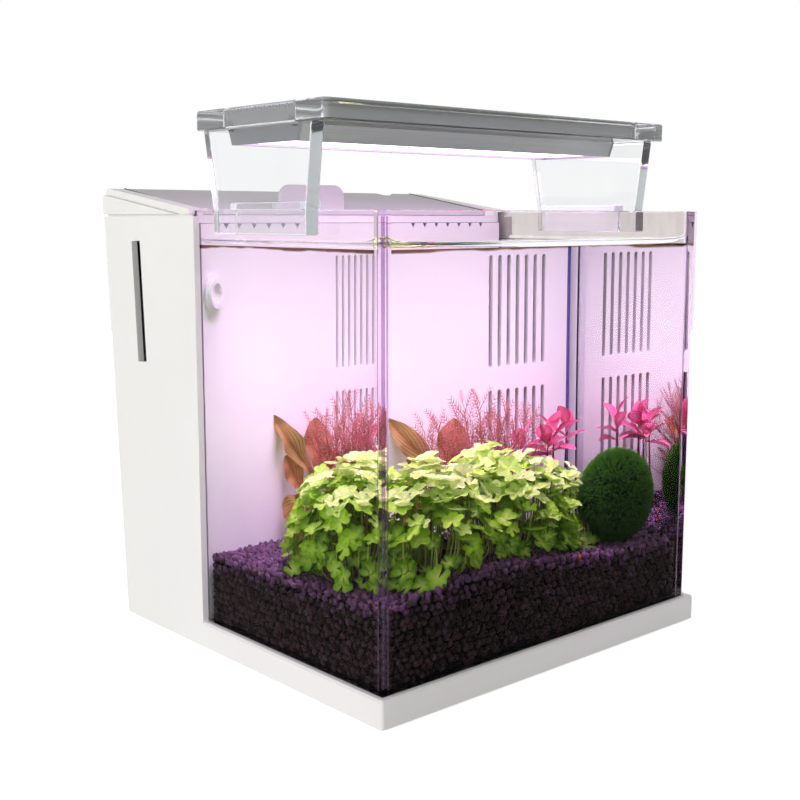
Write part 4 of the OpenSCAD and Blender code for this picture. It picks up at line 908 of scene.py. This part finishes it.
# Water: fills the glass box to 18 mm below the rim, through the partition's slots to the back pane.
# It climbs the panes a little where it wets them.
water_top, tree = new_material("fresh water, open surface")
bump = add(tree, "Bump", {"Height": patches(tree, 55.5 * MM, 1.0), "Strength": 0.03, "Distance": MM})
shader = add(tree, "BsdfGlass", {"Color": linear("FCFEFE"), "Roughness": 0.0, "IOR": water_ior,
                                 "Normal": bump})
bypass(tree, shader, "FCFDFE", ("Is Shadow Ray", "Is Diffuse Ray"))
water_side, tree = new_material("fresh water, against glass")
add(tree, "OutputMaterial", {"Surface": add(tree, "BsdfTransparent", {"Color": linear("FDFEFE")})})
off_glass = 0.12 * MM
water_middle, water_half = inner.mean(0), (inner[1] - inner[0]) / 2 - off_glass


def water_ring(inset):
    """A ring of the water's surface some way in from the panes: a rectangle of points, closer towards its
    corners. It climbs at the panes, and more so near the corners, falling off with the distance from them."""
    climb = 3.4 * MM * np.exp(-inset / (2.2 * MM))
    corner_climb = 3 * MM * np.exp(-inset / (2.5 * MM))
    way = np.linspace(-1, 1, 40, endpoint=False)
    way = np.sign(way) * (1 - (1 - np.abs(way)) ** 1.6)
    one = np.ones(40)
    flat = np.vstack([np.column_stack([way, -one]), np.column_stack([one, way]),
                      np.column_stack([-way, one]), np.column_stack([-one, -way])]) * (water_half - inset)
    away = np.abs(np.abs(flat) - water_half).sum(1) - 2 * inset
    height = level + climb + corner_climb * np.exp(-away / (5 * MM))
    return np.column_stack([water_middle + flat, height])


rings = [water_ring(inset * MM) for inset in (0, 0.4, 0.9, 1.6, 2.6, 4, 6, 9)]
foot = rings[0].copy()
foot[:, 2] = bottom[1, 2] + off_glass
water = piece("water", *loft(np.stack([foot] + rings)), (water_top, water_side), "tank", "clear_glass",
              smooth=False)
normals = np.empty((len(water.data.polygons), 3))
water.data.polygons.foreach_get("normal", normals.ravel())
is_top = normals[:, 2] > 0.15
water.data.polygons.foreach_set("material_index", (~is_top).astype(np.int32))
water.data.polygons.foreach_set("use_smooth", is_top)


# Studio: a pale floor that runs out of sight, a white surround, and soft light from the left.
# The camera stands at the front left corner, a little below the rim.
def looked_at(tree):
    """1 where the eye looks, also through glass or in a mirror, and 0 where only light is gathered."""
    path = add(tree, "LightPath")
    seen = path.outputs["Is Camera Ray"]
    for ray in ("Is Transmission Ray", "Is Glossy Ray"):
        seen = add(tree, "Math", {0: seen, 1: path.outputs[ray]}, operation="MAXIMUM")
    first = add(tree, "Math", {0: path.outputs["Diffuse Depth"], 1: 0.5}, operation="LESS_THAN")
    return add(tree, "Math", {0: seen, 1: first}, operation="MULTIPLY")


floor_white, tree = new_material("white paper floor")
paper = add(tree, "BsdfDiffuse", {"Color": two_tone(tree, "F2F2F2", "EEEEEE", 2.5 * MM)})
lift = add(tree, "Math", {0: looked_at(tree), 1: 0.75}, operation="MULTIPLY")
glow = add(tree, "Emission", {"Color": (1, 1, 1, 1), "Strength": lift})
add(tree, "OutputMaterial", {"Surface": add(tree, "AddShader", {0: paper, 1: glow})})
mesh = bpy.data.meshes.new("floor")
mesh.from_pydata([(-6, -6, 0), (6, -6, 0), (6, 6, 0), (-6, 6, 0)], [], [(0, 1, 2, 3)])
mesh.materials.append(floor_white)
ground = bpy.data.objects.new("floor", mesh)
bpy.context.scene.collection.objects.link(ground)

world = bpy.data.worlds.new("studio")
bpy.context.scene.world = world
world.use_nodes = True
tree = world.node_tree
tree.nodes.clear()
strength = add(tree, "MapRange", {"Value": looked_at(tree), "To Min": 0.28, "To Max": 1.0})
sky = add(tree, "Background", {"Color": (1, 1, 1, 1), "Strength": strength})
add(tree, "OutputWorld", {"Surface": sky})

for name, place, size, power in (("left softbox", (-1.6, -0.25, 0.36), 1.3, 19.0),
                                 ("front fill", (-0.2, -1.9, 0.9), 1.2, 4.0),
                                 ("rear fill", (1.25, 1.35, 0.45), 1.3, 15.0)):
    lamp = bpy.data.lights.new(name, "AREA")
    lamp.shape, lamp.size, lamp.energy = "SQUARE", size, power
    light = bpy.data.objects.new(name, lamp)
    light.location = place
    light.visible_camera = light.visible_transmission = light.visible_glossy = name != "rear fill"
    light.rotation_euler = (Vector((0, 0, 0.13)) - Vector(place)).to_track_quat("-Z", "Y").to_euler()
    bpy.context.scene.collection.objects.link(light)

camera = bpy.data.objects.new("camera", bpy.data.cameras.new("camera"))
camera.data.lens, camera.data.sensor_width = 54.57, 36.0
camera.location = (-0.4807, -0.5394, 0.2417)
camera.rotation_euler = Vector((0.6577, 0.7386, -0.1480)).to_track_quat("-Z", "Y").to_euler()
bpy.context.scene.collection.objects.link(camera)
bpy.context.scene.camera = camera
bpy.context.scene.view_settings.view_transform = "Standard"
